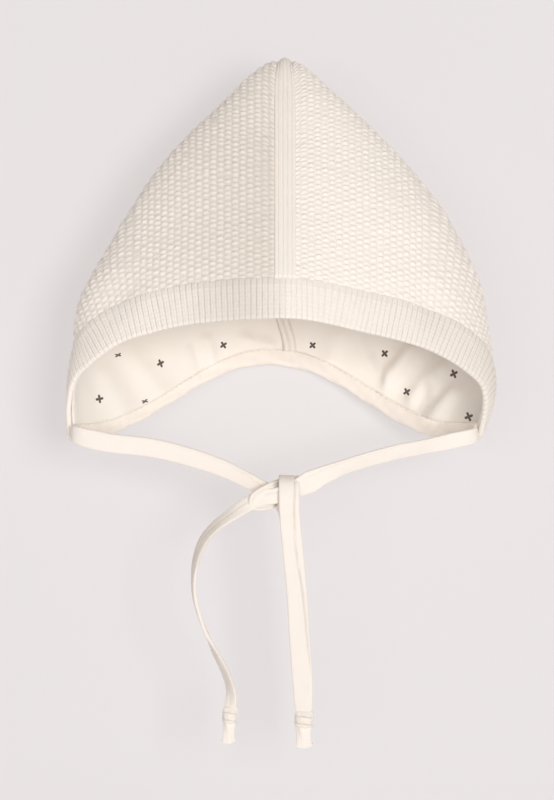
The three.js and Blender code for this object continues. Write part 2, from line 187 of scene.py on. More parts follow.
def makeGuides(side):
    share = np.linspace(0, 1, hood["guideSteps"] + 1)
    edge = faceRows[side]
    row = share * (len(edge) - 1)
    reach = np.minimum(1, columnAt(edge[:, 0], row, -edge[1, 0]))
    height = columnAt(edge[:, 1], row, edge[1, 1])
    faceLevel = levelOfHeight(height)
    foldLevel = share * (len(levelRows) - 1)
    seamLevel = share * levelOfHeight(hood["napeHeight"])
    return {
        "across": reach * levelAt(faceLevel, side)[1],
        "height": height,
        "face": runningLength(hoodPoint(side, np.arcsin(reach), faceLevel)),
        "foldLevel": foldLevel,
        "fold": runningLength(hoodPoint(side, np.full_like(share, math.pi / 2), foldLevel)),
        "seamLevel": seamLevel,
        "seam": runningLength(hoodPoint(side, np.full_like(share, math.pi), seamLevel)),
    }


guides = {side: makeGuides(side) for side in (-1, 1)}
faceLength = guides[1]["face"][-1]
bindingShare = 1 - hood["bindingWidth"] / faceLength
lowestShare = bindingShare + hood["overlap"] / faceLength
print("half the face edge is %.1f mm, the side fold %.1f mm, the back seam %.1f mm" % (
    faceLength, guides[1]["fold"][-1], guides[1]["seam"][-1]))


def onGuide(side, lengths, values, share):
    g = guides[side]
    return np.interp(np.asarray(share) * g[lengths][-1], g[lengths], g[values])


def angleFor(across, width):
    return np.arcsin(np.minimum(1, across / np.maximum(width, 1e-6)))


# Paths of columns of knit: up the front, over the side fold, across the back to the seam
def knitColumns(side, shares):
    shares = np.asarray(shares, float)
    g = guides[side]
    startAcross = onGuide(side, "face", "across", shares)
    startHeight = onGuide(side, "face", "height", shares)
    straight = np.minimum(shares, hood["fanStart"])
    crossing = levelOfWidth(onGuide(side, "face", "across", straight), side)
    crossingShare = np.interp(crossing, g["foldLevel"], g["fold"]) / g["fold"][-1]
    left = np.minimum(1, (1 - shares) / (1 - hood["fanStart"]))
    spread = left * mix(hood["neckCrowding"], 1, left)
    foldLevel = onGuide(side, "fold", "foldLevel", mix(1, crossingShare, spread))
    foldHeight, foldWidth = levelAt(foldLevel, side)[:2]
    endHeight = levelAt(onGuide(side, "seam", "seamLevel", shares), side)[0]
    n = hood["pathSamples"]
    up = 1 - (1 - np.arange(n) / n) ** 2
    over = (np.arange(n + 1) / n) ** 2
    frontAcross = mix(startAcross[:, None], foldWidth[:, None], up)
    frontLevel = levelOfHeight(mix(startHeight[:, None], foldHeight[:, None], up))
    backAcross = mix(foldWidth[:, None], 0, over)
    hang = neckSag[side] * np.sin(math.pi * over) + neckSwing[side] * np.sin(2 * math.pi * over)
    hang = hang * shares[:, None] ** 3
    backLevel = levelOfHeight(mix(foldHeight[:, None], endHeight[:, None], smooth(over)) - hang)
    frontAngle = angleFor(frontAcross, levelAt(frontLevel, side)[1])
    backAngle = math.pi - angleFor(backAcross, levelAt(backLevel, side)[1])
    backAngle[:, 0] = math.pi / 2
    angle = np.concatenate([frontAngle, backAngle], 1)
    level = np.concatenate([frontLevel, backLevel], 1)
    across = np.concatenate([frontAcross, backAcross], 1)
    length = runningLength(hoodPoint(side, angle, level))
    return {"angle": angle, "level": level, "across": across, "length": length}


# Length at which each column's back leg comes within a distance of the centre
def lengthAtAcross(columns, across):
    n = hood["pathSamples"]
    result = []
    for row, length in zip(columns["across"][:, n:], columns["length"][:, n:]):
        result.append(length[0] if row[0] <= across else np.interp(-across, -row, length))
    return np.array(result)


def swell(side, share, along):
    offset = np.zeros(np.broadcast(share, along).shape)
    for dentSide, dentShare, dentAlong, depth, radius in dentRows:
        if dentSide == side:
            far = np.hypot((share - dentShare) * faceLength, along - dentAlong) / radius
            offset = offset + depth * hump(far)
    flare = rimFlare["left"] if side < 0 else rimFlare["right"]
    nearEdge = 1 - ramp(along, 0, hood["bandWidth"] * 1.2)
    return offset + flare * nearEdge * ramp(share, rimFlare["share"] - 0.15, rimFlare["share"] + 0.15)


# Points and normals of the outer surface, one row of the result for each column of knit
def clothGrid(side, shares, distances):
    columns = knitColumns(side, shares)
    rows = range(len(shares))
    angle = np.array([np.interp(distances[i], columns["length"][i], columns["angle"][i]) for i in rows])
    level = np.array([np.interp(distances[i], columns["length"][i], columns["level"][i]) for i in rows])
    normal = hoodNormal(side, angle, level)
    offset = swell(side, np.asarray(shares)[:, None], distances)
    return hoodPoint(side, angle, level) + normal * offset[..., None], normal


# Slow waves over a surface, from about -1 to 1
def unevenness(points, size, seed):
    rng = np.random.default_rng(seed)
    total = np.zeros(points.shape[:-1])
    for octave in range(3):
        for _ in range(5):
            direction = rng.normal(size=3)
            direction /= np.linalg.norm(direction)
            turns = points @ direction * 2 ** octave / size + rng.uniform()
            total += np.sin(2 * math.pi * turns) / 2 ** octave
    return total / 5


# A grid's quads; rows or columns may close on themselves
def gridFaces(columns, rows, first=0, closeRows=False, closeColumns=False):
    i = np.arange(columns if closeColumns else columns - 1)[:, None]
    j = np.arange(rows if closeRows else rows - 1)[None, :]
    nextI = (i + 1) % columns
    nextJ = (j + 1) % rows
    quads = np.stack([i * rows + j, nextI * rows + j, nextI * rows + nextJ, i * rows + nextJ], -1)
    return (quads.reshape(-1, 4) + first).tolist()


# A fine grid closed behind by a coarse one, whose rims meet the fine rows a few at a time
def closedSheet(fine, coarse, stepI, stepJ):
    columns, rows = fine.shape[:2]
    coarseColumns, coarseRows = coarse.shape[:2]
    first = columns * rows
    faces = gridFaces(columns, rows)
    faces += [quad[::-1] for quad in gridFaces(coarseColumns, coarseRows, first)]
    lastI, lastJ = coarseColumns - 1, coarseRows - 1

    def near(i, j):
        return i * rows + j

    def far(i, j):
        return first + i * coarseRows + j

    for i in range(lastI):
        run = [i * stepI + k for k in range(stepI + 1)]
        faces.append([near(k, 0) for k in run[::-1]] + [far(i, 0), far(i + 1, 0)])
        faces.append([near(k, rows - 1) for k in run] + [far(i + 1, lastJ), far(i, lastJ)])
    for j in range(lastJ):
        run = [j * stepJ + k for k in range(stepJ + 1)]
        faces.append([near(0, k) for k in run] + [far(0, j + 1), far(0, j)])
        faces.append([near(columns - 1, k) for k in run[::-1]] + [far(lastI, j), far(lastI, j + 1)])
    points = np.concatenate([fine.reshape(-1, 3), coarse.reshape(-1, 3)])
    return points, faces


# A closed section carried along stations, with flat ends
def closedRun(grid):
    columns, rows = grid.shape[:2]
    faces = gridFaces(columns, rows, closeRows=True)
    faces.append(list(range(rows)))
    faces.append([(columns - 1) * rows + j for j in reversed(range(rows))])
    return grid.reshape(-1, 3), faces


def joined(parts):
    points = []
    faces = []
    count = 0
    for partPoints, partFaces in parts:
        points.append(partPoints)
        faces += [[index + count for index in face] for face in partFaces]
        count += len(partPoints)
    return np.concatenate(points), faces


def addObject(name, data):
    added = bpy.data.objects.new(name, data)
    bpy.context.scene.collection.objects.link(added)
    return added


# Millimetre points become a smooth mesh in metres, turned to face outwards. Depth is the painted
# shade of the yarn at each of the first points.
def makePiece(name, points, faces, yarnName, nodes, depth=None):
    mesh = bpy.data.meshes.new(name)
    mesh.from_pydata((np.asarray(points) * mm).tolist(), [], faces)
    mesh.update()
    mesh.calc_loop_triangles()
    corners = np.empty(len(mesh.loop_triangles) * 3, int)
    mesh.loop_triangles.foreach_get("vertices", corners)
    a, b, c = np.asarray(points)[corners.reshape(-1, 3)].transpose(1, 0, 2)
    if np.einsum("ij,ij->", a, np.cross(b, c)) < 0:
        mesh.flip_normals()
    if depth is not None:
        full = np.zeros(len(mesh.vertices))
        full[:depth.size] = depth.ravel()
        mesh.attributes.new("depth", "FLOAT", "POINT").data.foreach_set("value", full)
    mesh.polygons.foreach_set("use_smooth", [True] * len(mesh.polygons))
    mesh.materials.append(bpy.data.materials[yarnName])
    piece = addObject(name, mesh)
    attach(piece, "root")
    if nodes:
        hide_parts(*nodes)
    print("%s: %d faces" % (name, len(mesh.polygons)))
    return piece


view = {
    "centre": (-4.05, 0, -97),
    "distance": 1250,
    "lens": 125,  # on a 36 mm sensor, fitted to the longer side
}


def makeCamera():
    data = bpy.data.cameras.new("camera")
    data.lens = view["lens"]
    data.sensor_width = 36
    data.clip_start = 0.05
    camera = addObject("camera", data)
    x, y, z = view["centre"]
    camera.location = Vector((x, y - view["distance"], z)) * mm
    camera.rotation_euler = (math.pi / 2, 0, 0)
    bpy.context.scene.camera = camera


makeCamera()
print("camera made")


# Each value is another node's output or a plain value
def fillSockets(tree, sockets, values):
    for socket, value in zip(sockets, values):
        if hasattr(value, "node"):
            tree.links.new(value, socket)
        else:
            socket.default_value = value


def setInputs(node, values):
    for name, value in values.items():
        node.inputs[name].default_value = value


def mathNode(tree, operation, *values):
    node = tree.nodes.new("ShaderNodeMath")
    node.operation = operation
    fillSockets(tree, node.inputs, values)
    return node.outputs[0]


def attributeNode(tree, name):
    node = tree.nodes.new("ShaderNodeAttribute")
    node.attribute_name = name
    return node


def mixColour(tree, factor, first, second):
    node = tree.nodes.new("ShaderNodeMix")
    node.data_type = "RGBA"
    fillSockets(tree, (node.inputs[0], node.inputs[6], node.inputs[7]), (factor, first, second))
    return node.outputs[2]


def noiseNode(tree, size, detail=2):
    place = tree.nodes.new("ShaderNodeTexCoord").outputs["Object"]
    node = tree.nodes.new("ShaderNodeTexNoise")
    setInputs(node, {"Scale": 1 / (size * mm), "Detail": detail})
    tree.links.new(place, node.inputs["Vector"])
    return node.outputs["Fac"]


yarn = {
    "top": (0.93, 0.862, 0.778, 1),
    "paintedLightTop": (0.985, 0.925, 0.84, 1),  # painted light: a paler top colour for the knit that faces the light
    "warm": (0.95, 0.85, 0.76, 1),
    "cool": (0.90, 0.86, 0.79, 1),
    "shader": {"Roughness": 0.92, "Sheen Weight": 0.25, "Sheen Roughness": 0.5, "Specular IOR Level": 0.2},
    "blotch": 28,
    "fibreDepth": 0.25,
}
yarnRows = {
    # slot, share of the painted shade colour at a depth of 1, fibre strength and size, painted shade colour,
    # top colour
    "mossYarn": ("moss_knit", 0.52, 0.8, 0.8, (0.76, 0.695, 0.61, 1), yarn["paintedLightTop"]),
    "ribYarn": ("rib_knit", 1, 0.5, 0.4, (0.68, 0.62, 0.54, 1), yarn["paintedLightTop"]),
    "tapeYarn": ("binding_jersey", 0.3, 0.45, 0.45, (0.62, 0.565, 0.495, 1), yarn["top"]),
    "liningJersey": ("lining_jersey", 1, 0.3, 0.5, (0.60, 0.55, 0.48, 1), yarn["paintedLightTop"]),
}


# Cotton yarn: slightly uneven in colour, with fine fibres, and painted shade between the stitches and
# wherever the depth attribute sets it
def yarnMaterial(name):
    shadeShare, fibre, fibreSize, shadeColour, top = yarnRows[name][1:]
    material = bpy.data.materials.new(name)
    material.use_nodes = True
    tree = material.node_tree
    shader = tree.nodes["Principled BSDF"]
    setInputs(shader, yarn["shader"])
    toneAndShade = mixColour(tree, noiseNode(tree, yarn["blotch"], 3), yarn["warm"], yarn["cool"])
    # half of the top colour; for the moss, rib and lining yarns that is the paler one, as painted light
    toneAndShade = mixColour(tree, 0.5, toneAndShade, top)
    depth = attributeNode(tree, "depth").outputs["Fac"]
    depth = mathNode(tree, "MULTIPLY", depth, shadeShare)
    # painted shade: the depth attribute mixes in the darker colour
    toneAndShade = mixColour(tree, depth, toneAndShade, shadeColour)
    tree.links.new(toneAndShade, shader.inputs["Base Color"])
    bump = tree.nodes.new("ShaderNodeBump")
    setInputs(bump, {"Strength": fibre, "Distance": yarn["fibreDepth"] * mm})
    tree.links.new(noiseNode(tree, fibreSize, 3), bump.inputs["Height"])
    tree.links.new(bump.outputs[0], shader.inputs["Normal"])


for yarnName in yarnRows:
    yarnMaterial(yarnName)
print("knit materials made")

# The ties: each runs from a chin corner through the knot to its own end knot. Points are x, y and
# height above the chin corners, as in the CAD model.
leftTieRoute = [
    (-95.4, -5.6, 3.0), (-94.6, -8.0, 2.5), (-92.2, -9.8, 1.8), (-88.4, -10.6, 0.8),
    (-82.6, -10.9, -0.4), (-75.0, -11.0, -1.5), (-67.0, -11.1, -2.4), (-59.0, -11.2, -3.6),
    (-51.0, -11.4, -5.2), (-43.0, -11.6, -7.3), (-35.0, -11.8, -9.9), (-27.0, -12.0, -13.0),
    (-19.0, -12.2, -16.8), (-12.0, -12.6, -20.6), (-6.0, -13.6, -24.2), (-1.2, -14.8, -28.6),
    (1.2, -15.4, -34.0), (2.4, -15.4, -42.0), (3.4, -15.2, -52.0), (4.3, -15.0, -62.0),
    (5.0, -14.8, -72.0), (5.7, -14.6, -82.0), (6.3, -14.5, -92.0), (6.9, -14.4, -102.0),
    (7.5, -14.4, -112.0), (7.9, -14.4, -121.0),
]
rightTieRoute = [
    (85.2, -6.6, 2.4), (84.4, -8.8, 2.1), (82.2, -10.6, 1.5), (78.6, -11.6, 0.8),
    (73.2, -12.0, -0.3), (66.0, -12.4, -1.8), (58.0, -13.4, -3.4), (50.0, -14.4, -5.0),
    (42.0, -15.4, -6.9), (34.0, -16.4, -9.0), (26.0, -17.4, -11.6), (18.0, -18.2, -14.8),
    (10.0, -18.8, -18.6), (3.0, -19.0, -22.0), (-4.0, -19.2, -24.2), (-11.0, -19.4, -25.4),
    (-17.6, -19.4, -28.6), (-24.4, -18.6, -33.0), (-31.0, -17.6, -37.8), (-36.4, -16.6, -44.0),
    (-39.6, -15.8, -52.0), (-40.9, -15.2, -60.0), (-40.9, -14.8, -68.0), (-38.8, -14.6, -77.0),
    (-35.4, -14.4, -86.0), (-31.0, -14.4, -95.0), (-26.6, -14.4, -104.0), (-24.4, -14.4, -112.0),
    (-24.8, -14.4, -119.0),
]

tie = {
    "width": 8.4,
    "thickness": 1.8,
    "step": 0.55,  # between stations
    "fold": 0.32,  # depth of the line where the folded edges meet
    "foldWidth": 0.4,
    "foldShade": 1.5,
    "lip": 0.12,  # rise beside that line
    "lipFrom": 0.9,
    "lipWidth": 0.6,
    "pillow": 0.2,  # how much thinner the edges are
    "flatPart": 0.86,  # share of the width before the edges bend
    "sectionSamples": 16,
    "stitch": 1.3,
    "stitchHeight": 0.04,
}


# A smooth line through a route, with as many values as each row has
def routeLine(rows, step):
    rows = np.array(rows, float)
    at = np.linspace(0, len(rows) - 1, len(rows) * 40)
    line = np.array([columnAt(column, at, 2 * column[0] - column[1]) for column in rows.T]).T
    length = runningLength(line[:, :3])
    even = np.linspace(0, length[-1], max(8, round(length[-1] / step)))
    return np.array([np.interp(even, length, column) for column in line.T]).T, even


# Directions across and out of a band that follows a line, turned by degrees at each station
def bandFrames(line, firstAcross, degrees, facing):
    along = unit(np.gradient(line, axis=0))
    across = np.empty_like(line)
    last = np.array(firstAcross, float)
    for i, direction in enumerate(along):
        last = unit(last - direction * (last @ direction))
        across[i] = last
    out = np.cross(along, across) * facing
    turn = np.radians(degrees)[:, None]
    return across * np.cos(turn) + out * np.sin(turn), out * np.cos(turn) - across * np.sin(turn)


# Section of a folded strip, as places across (-1 to 1) and out (-1 to 1), going round once
def foldedSection():
    n = tie["sectionSamples"]
    flatPart = tie["flatPart"]
    flat = np.linspace(-1, 1, n + 1) * flatPart
    edge = np.linspace(math.pi / 2, -math.pi / 2, 7)[1:-1]
    bend = flatPart + (1 - flatPart) * np.cos(edge)
    across = np.concatenate([flat, bend, flat[::-1], -bend])
    out = np.concatenate([np.ones(n + 1), np.sin(edge), -np.ones(n + 1), -np.sin(edge)])
    return across, out


# Points of a folded strip along a line; fold is where the folded edges meet, from -1 to 1
def foldedStrip(line, at, across, out, width, thickness, fold, crease=1.0):
    w, t = foldedSection()
    width = np.asarray(width)[:, None] / 2
    thickness = np.asarray(thickness)[:, None] / 2
    fold = np.asarray(fold)[:, None]
    crease = np.asarray(crease).reshape(-1, 1) * (t > 0.9)
    mouth = hump((w - fold) * width / tie["foldWidth"]) * crease
    lips = hump((np.abs(w - fold) * width - tie["lipFrom"]) / tie["lipWidth"]) * crease
    chevron = 2 * math.pi * (at[:, None] / tie["stitch"] + 2.2 * np.abs(w))
    stitch = tie["stitchHeight"] * np.cos(chevron) * np.abs(t)
    wave = 0.06 * np.sin(at[:, None] / 4.3 + 2 * w) + 0.04 * np.sin(at[:, None] / 1.9 - 3 * w)
    rise = t * thickness * (1 - tie["pillow"] * w * w) - tie["fold"] * mouth + tie["lip"] * lips
    rise = rise + stitch + wave
    place = w * width + 0.1 * np.sin(at[:, None] / 5.7 + 1)
    grid = line[:, None] + across[:, None] * place[..., None] + out[:, None] * rise[..., None]
    # painted shade along the line where the folded edges meet
    return grid, tie["foldShade"] * mouth


# Ends drawn in, so that a strip doesn't stop in a sharp cut
def drawnIn(grid, line, stations):
    for k in range(stations):
        factor = math.sqrt(1 - (1 - (k + 0.5) / stations) ** 2)
        for i in (k, len(grid) - 1 - k):
            grid[i] = line[i] + (grid[i] - line[i]) * factor
    return grid


# Twist in degrees, width, place and depth of the fold and painted shade at shares of the length
def tieValues(even, rows):
    share, *columns = np.array(rows, float).T
    at = even / even[-1]
    return [np.interp(at, share, column) for column in columns]


leftTieRows = [
    # share of the length, twist, width, place of the fold, its depth, painted shade
    (0, 0, 7.8, 0.8, 0, 0), (0.06, 0, 9.0, 0.8, 0.1, 0), (0.3, 4, 8.6, 0.8, 0.2, 0),
    (0.42, 10, 7.6, 0.6, 0.3, 0), (0.5, 4, 7.8, 0, 1, 0), (0.55, -12, 8.6, 0.1, 1.5, 0),
    (0.6, -23, 9.2, 0.18, 1.5, 0), (0.72, -22, 9.2, 0.5, 1.5, 0), (0.85, -18, 9.2, 0.75, 1.3, 0),
    (0.93, -16, 9.2, 1, 0.5, 0), (0.97, -15, 8.4, 1, 0.1, 0), (1, -15, 7.6, 1, 0, 0),
]
rightTieRows = [
    (0, 0, 6.8, 0.8, 0, 0), (0.06, 12, 7.6, 0.8, 0.1, 0), (0.12, 26, 8.0, 0.8, 0.2, 0.1),
    (0.3, 24, 7.8, 0.8, 0.4, 0.1), (0.345, 10, 8.8, 0.6, 0.4, 0), (0.375, 6, 10.6, 0.5, 0.3, 0),
    (0.42, 4, 7.4, 0.5, 0.4, 0), (0.5, -24, 6.8, 0.3, 0.6, 0.1), (0.56, -58, 6.8, 0, 0.5, 0.35),
    (0.6, -66, 6.8, 0, 0.4, 1.3), (0.68, -76, 6.8, 0, 0.3, 1.3), (0.71, -84, 6.8, 0, 0.3, 0.4),
    (0.76, -92, 6.8, 0, 0.3, 0), (0.84, -96, 6.8, 0, 0.3, 0), (0.88, -78, 6.8, 0, 0.3, 1.0),
    (0.95, -66, 6.6, 0, 0.3, 1.2), (0.98, -50, 6.2, 0, 0.3, 0.3), (1, -30, 5.6, 0, 0.3, 0),
]


def onSeat(rows):
    rows = np.array(rows, float)
    rows[:, 2] -= seatHeight
    return rows


def makeTie(name, route, rows, facing, nodes):
    line, even = routeLine(onSeat(route), tie["step"])
    twist, width, fold, crease, shade = tieValues(even, rows)
    across, out = bandFrames(line, (0, 0, 1), twist, facing)
    thickness = np.full(len(line), tie["thickness"])
    grid, depth = foldedStrip(line, even, across, out, width, thickness, fold, crease)
    # painted shade from the table's last column, added to the crease's
    depth = depth + shade[:, None]
    points, faces = closedRun(drawnIn(grid, line, 3))
    piece = makePiece(name, points, faces, "tapeYarn", nodes, depth)
    return piece, line, even[-1]


tieLeft, leftLine, leftLength = makeTie(
    "tieLeft", leftTieRoute, leftTieRows, 1, ["tie_left", "tail_straight"])
tieRight, rightLine, rightLength = makeTie(
    "tieRight", rightTieRoute, rightTieRows, -1, ["tie_right", "tail_curved"])
print("ties made: left %.0f mm, right %.0f mm" % (leftLength, rightLength))

chinKnot = {
    "core": (12.5, 7.5, 11),
    "centre": (-0.6, -15.6, -23.6),
    "loop": (9.2, 2.0),  # width and thickness of each strip
    "fold": (6.4, 2.2),
    "wrap": (6.6, 2.2),
    "gapX": -4.5,
    "gapBehind": -20.6,
    "gapWidth": 1.2,
    "gapShade": 3.2,
}

# Flat strip that comes up in front of the knot, over its top and down behind: x, y, height
knotLoop = [
    (3.95, -14.7, -58), (3.5, -14.9, -53), (3.0, -15.15, -48), (2.5, -15.5, -43), (2.1, -16.2, -38.5),
    (1.8, -17.8, -34.5), (1.5, -20.0, -31), (1.3, -21.5, -27), (1.2, -21.8, -22.5), (1.2, -20.6, -18.6),
    (1.2, -17.2, -16.4), (1.2, -13.4, -17.2), (0.6, -11.4, -20.5), (0.2, -11.0, -25),
]
# Short fold that shows at the left of it
knotFold = [
    (1, -15.5, -19.5), (-5, -17.5, -21.0), (-10.4, -19.4, -23.4), (-13.4, -20.2, -25.6),
    (-13.2, -19.2, -28.0), (-9.5, -16.5, -28.2), (-4, -15, -26.5),
]
# The other strap wraps round at the right
knotWrap = [
    (9.5, -17.6, -18.2), (5.2, -18.4, -21.0), (1.5, -17.5, -24.5), (-3, -16.5, -27.5),
]


def ellipsoid(centre, size, columns, rows):
    turn = np.linspace(0, 2 * math.pi, columns, endpoint=False)
    tilt = np.linspace(0.06, math.pi - 0.06, rows)
    grid = np.stack([
        np.sin(tilt)[:, None] * np.cos(turn), np.sin(tilt)[:, None] * np.sin(turn),
        np.cos(tilt)[:, None] + 0 * turn,
    ], -1)
    return closedRun(grid * np.array(size) / 2 + np.array(centre))


def ribbonPart(route, size, firstAcross, fold, degrees=(0, 0), crease=1.0):
    line, even = routeLine(onSeat(route), 0.5)
    ends = [0, even[-1]]
    across, out = bandFrames(line, firstAcross, np.interp(even, ends, degrees), -1)
    width, thickness = (np.full(len(line), value) for value in size)
    grid, depth = foldedStrip(
        line, even, across, out, width, thickness, np.interp(even, ends, fold), crease)
    points, faces = closedRun(drawnIn(grid, line, 3))
    return points, faces, depth.ravel()


def makeChinKnot():
    x, y, z = chinKnot["centre"]
    core = ellipsoid((x, y, z - seatHeight), chinKnot["core"], 28, 18)
    strips = [
        ribbonPart(knotLoop, chinKnot["loop"], (1, 0, 0), (0.18, 0.7), crease=1.4),
        ribbonPart(knotFold, chinKnot["fold"], (0, 0, 1), (0.5, 0.5), (0, 20), crease=0.6),
        ribbonPart(knotWrap, chinKnot["wrap"], (0, 0, 1), (0.4, 0.4), crease=0.6),
    ]
    points, faces = joined([core] + [strip[:2] for strip in strips])
    depth = np.concatenate([np.zeros(len(core[0]))] + [strip[2] for strip in strips])
    # painted shade in the gap beside the strip in front, where the folds go in behind it
    gap = hump((points[:, 0] - chinKnot["gapX"]) / chinKnot["gapWidth"])
    gap = gap * (points[:, 1] > chinKnot["gapBehind"])
    depth = depth + chinKnot["gapShade"] * gap
    return makePiece("chinKnot", points, faces, "tapeYarn", ["chin_knot"], depth)


endKnot = {
    # height, half width, half depth
    "profile": [(0.5, 3.6, 1.1), (-1, 4.0, 1.8), (-3, 4.1, 2.6), (-5.5, 3.7, 2.9), (-8, 3.3, 2.6),
                (-10, 3.1, 2.1), (-12, 3.2, 1.7), (-14, 3.5, 1.4), (-15.4, 3.8, 1.1)],
    "wraps": 2,
    "wrapFrom": -2.4,
    "wrapDrop": 5.0,
    "wrapWidth": 4.0,
    "wrapThickness": 1.3,
    "tipFrom": -14,
}


# A small knot at the end of a tie, with its flared tip
def makeEndKnot(name, line, node, lean, squeeze):
    end = line[-1]
    heights, wide, deep = np.array(endKnot["profile"]).T
    even = np.linspace(heights[0], heights[-1], 40)
    wide = np.interp(-even, -heights, wide) * squeeze
    deep = np.interp(-even, -heights, deep)
    turn = np.linspace(0, 2 * math.pi, 36, endpoint=False)
    # pleats of the gathered strap
    flute = 1 + 0.07 * np.cos(5 * turn + even[:, None] / 2.4) + 0.03 * np.cos(11 * turn)
    grid = np.stack([
        end[0] + lean * even[:, None] + wide[:, None] * np.cos(turn) * flute,
        end[1] + deep[:, None] * np.sin(turn) * flute,
        end[2] + even[:, None] + 0.5 * np.cos(2 * turn)[None, :] * (even[:, None] < endKnot["tipFrom"]),
    ], -1)
    route = []
    for t in np.linspace(0, 1, 19):
        angle = 2 * math.pi * endKnot["wraps"] * t + 0.5 * math.pi
        height = endKnot["wrapFrom"] - endKnot["wrapDrop"] * t
        x = lean * height + (np.interp(-height, -even, wide) - 1.0) * math.cos(angle)
        y = (np.interp(-height, -even, deep) - 0.1) * math.sin(angle)
        route.append((end[0] + x, end[1] + y, end[2] + height + seatHeight))
    size = (endKnot["wrapWidth"] * squeeze, endKnot["wrapThickness"])
    wrap = ribbonPart(route, size, (0, 0, 1), (0.9, 0.9))
    points, faces = joined([closedRun(grid), wrap[:2]])
    return makePiece(name, points, faces, "tapeYarn", [node])


chinKnotPiece = makeChinKnot()
endKnotStraight = makeEndKnot("endKnotStraight", leftLine, "end_knot_straight", 0.0, 1.0)
endKnotCurved = makeEndKnot("endKnotCurved", rightLine, "end_knot_curved", 0.06, 0.82)
print("knots made")

moss = {
    "column": 3.2,
    "row": 2.5,
    "acrossSamples": 6,
    "alongSamples": 6,
    "fanned": 1.4,  # how much closer the columns start where they fan out
    "fansOut": (0.42, 0.75),  # and where that is, in shares of the face edge
    "underBand": 0.6,
    "valley": -0.4,  # between the bumps
    "bump": 0.62,
    "oval": (0.44, 0.40),  # half size of a bump, in columns and rows
    "wideOval": (0.48, 0.36),  # nearer the band, where the rows show more than the columns
    "spread": (0.22, 0.08),  # unevenness of the bumps' heights and of their places
    "pitEdge": 2.2,  # painted shade in the pits, up to 1 / 2.2 of a bump's height
    "legs": 0.3,  # height of the two legs of yarn between one bump and the next
    "wideUntil": 38,
    "narrowFrom": 78,
    "arch": 0.9,
    # painted shade between the bumps at shares of the face edge, on each side
    "shade": {-1: [(0, 1.05), (0.42, 1.0), (0.68, 0.45), (1, 0.35)],
              1: [(0, 0.5), (0.15, 0.3), (0.4, 0.35), (0.65, 0.65), (1, 0.5)]},
    # and painted shade over the cloth itself, by region
    "toneAndShade": {-1: [(0, 0.3), (0.3, 0.25), (0.5, 0.05), (0.7, 0), (1, 0)],
             1: [(0, 0.1), (0.2, 0), (0.45, 0), (0.65, 0.15), (1, 0.2)]},
    "besideStrip": {-1: 1.0, 1: 0},  # and painted shade in the hollow beside the strip
    "hollowWidth": 34,
    "hollowFades": (55, 125),  # distances from the face edge
    "meetsStrip": {-1: 1, 1: 0.2},  # how much of the tuck there is beside the strip
    "grain": 0.06,  # unevenness of the yarn itself
    "unevenness": 0.35,
    "waves": (45, 3),  # length and seed of the unevenness
    "tuck": 0.5,  # how far the edges sink under the band, strip and binding
    "bandTuck": 2.2,
    "sideTuck": 1.8,
    "seamTuck": 0.0125,  # share of the panel's length
    "tipDrop": 0.9,  # lower beside the strip near the point
    "tipReach": 8,
}


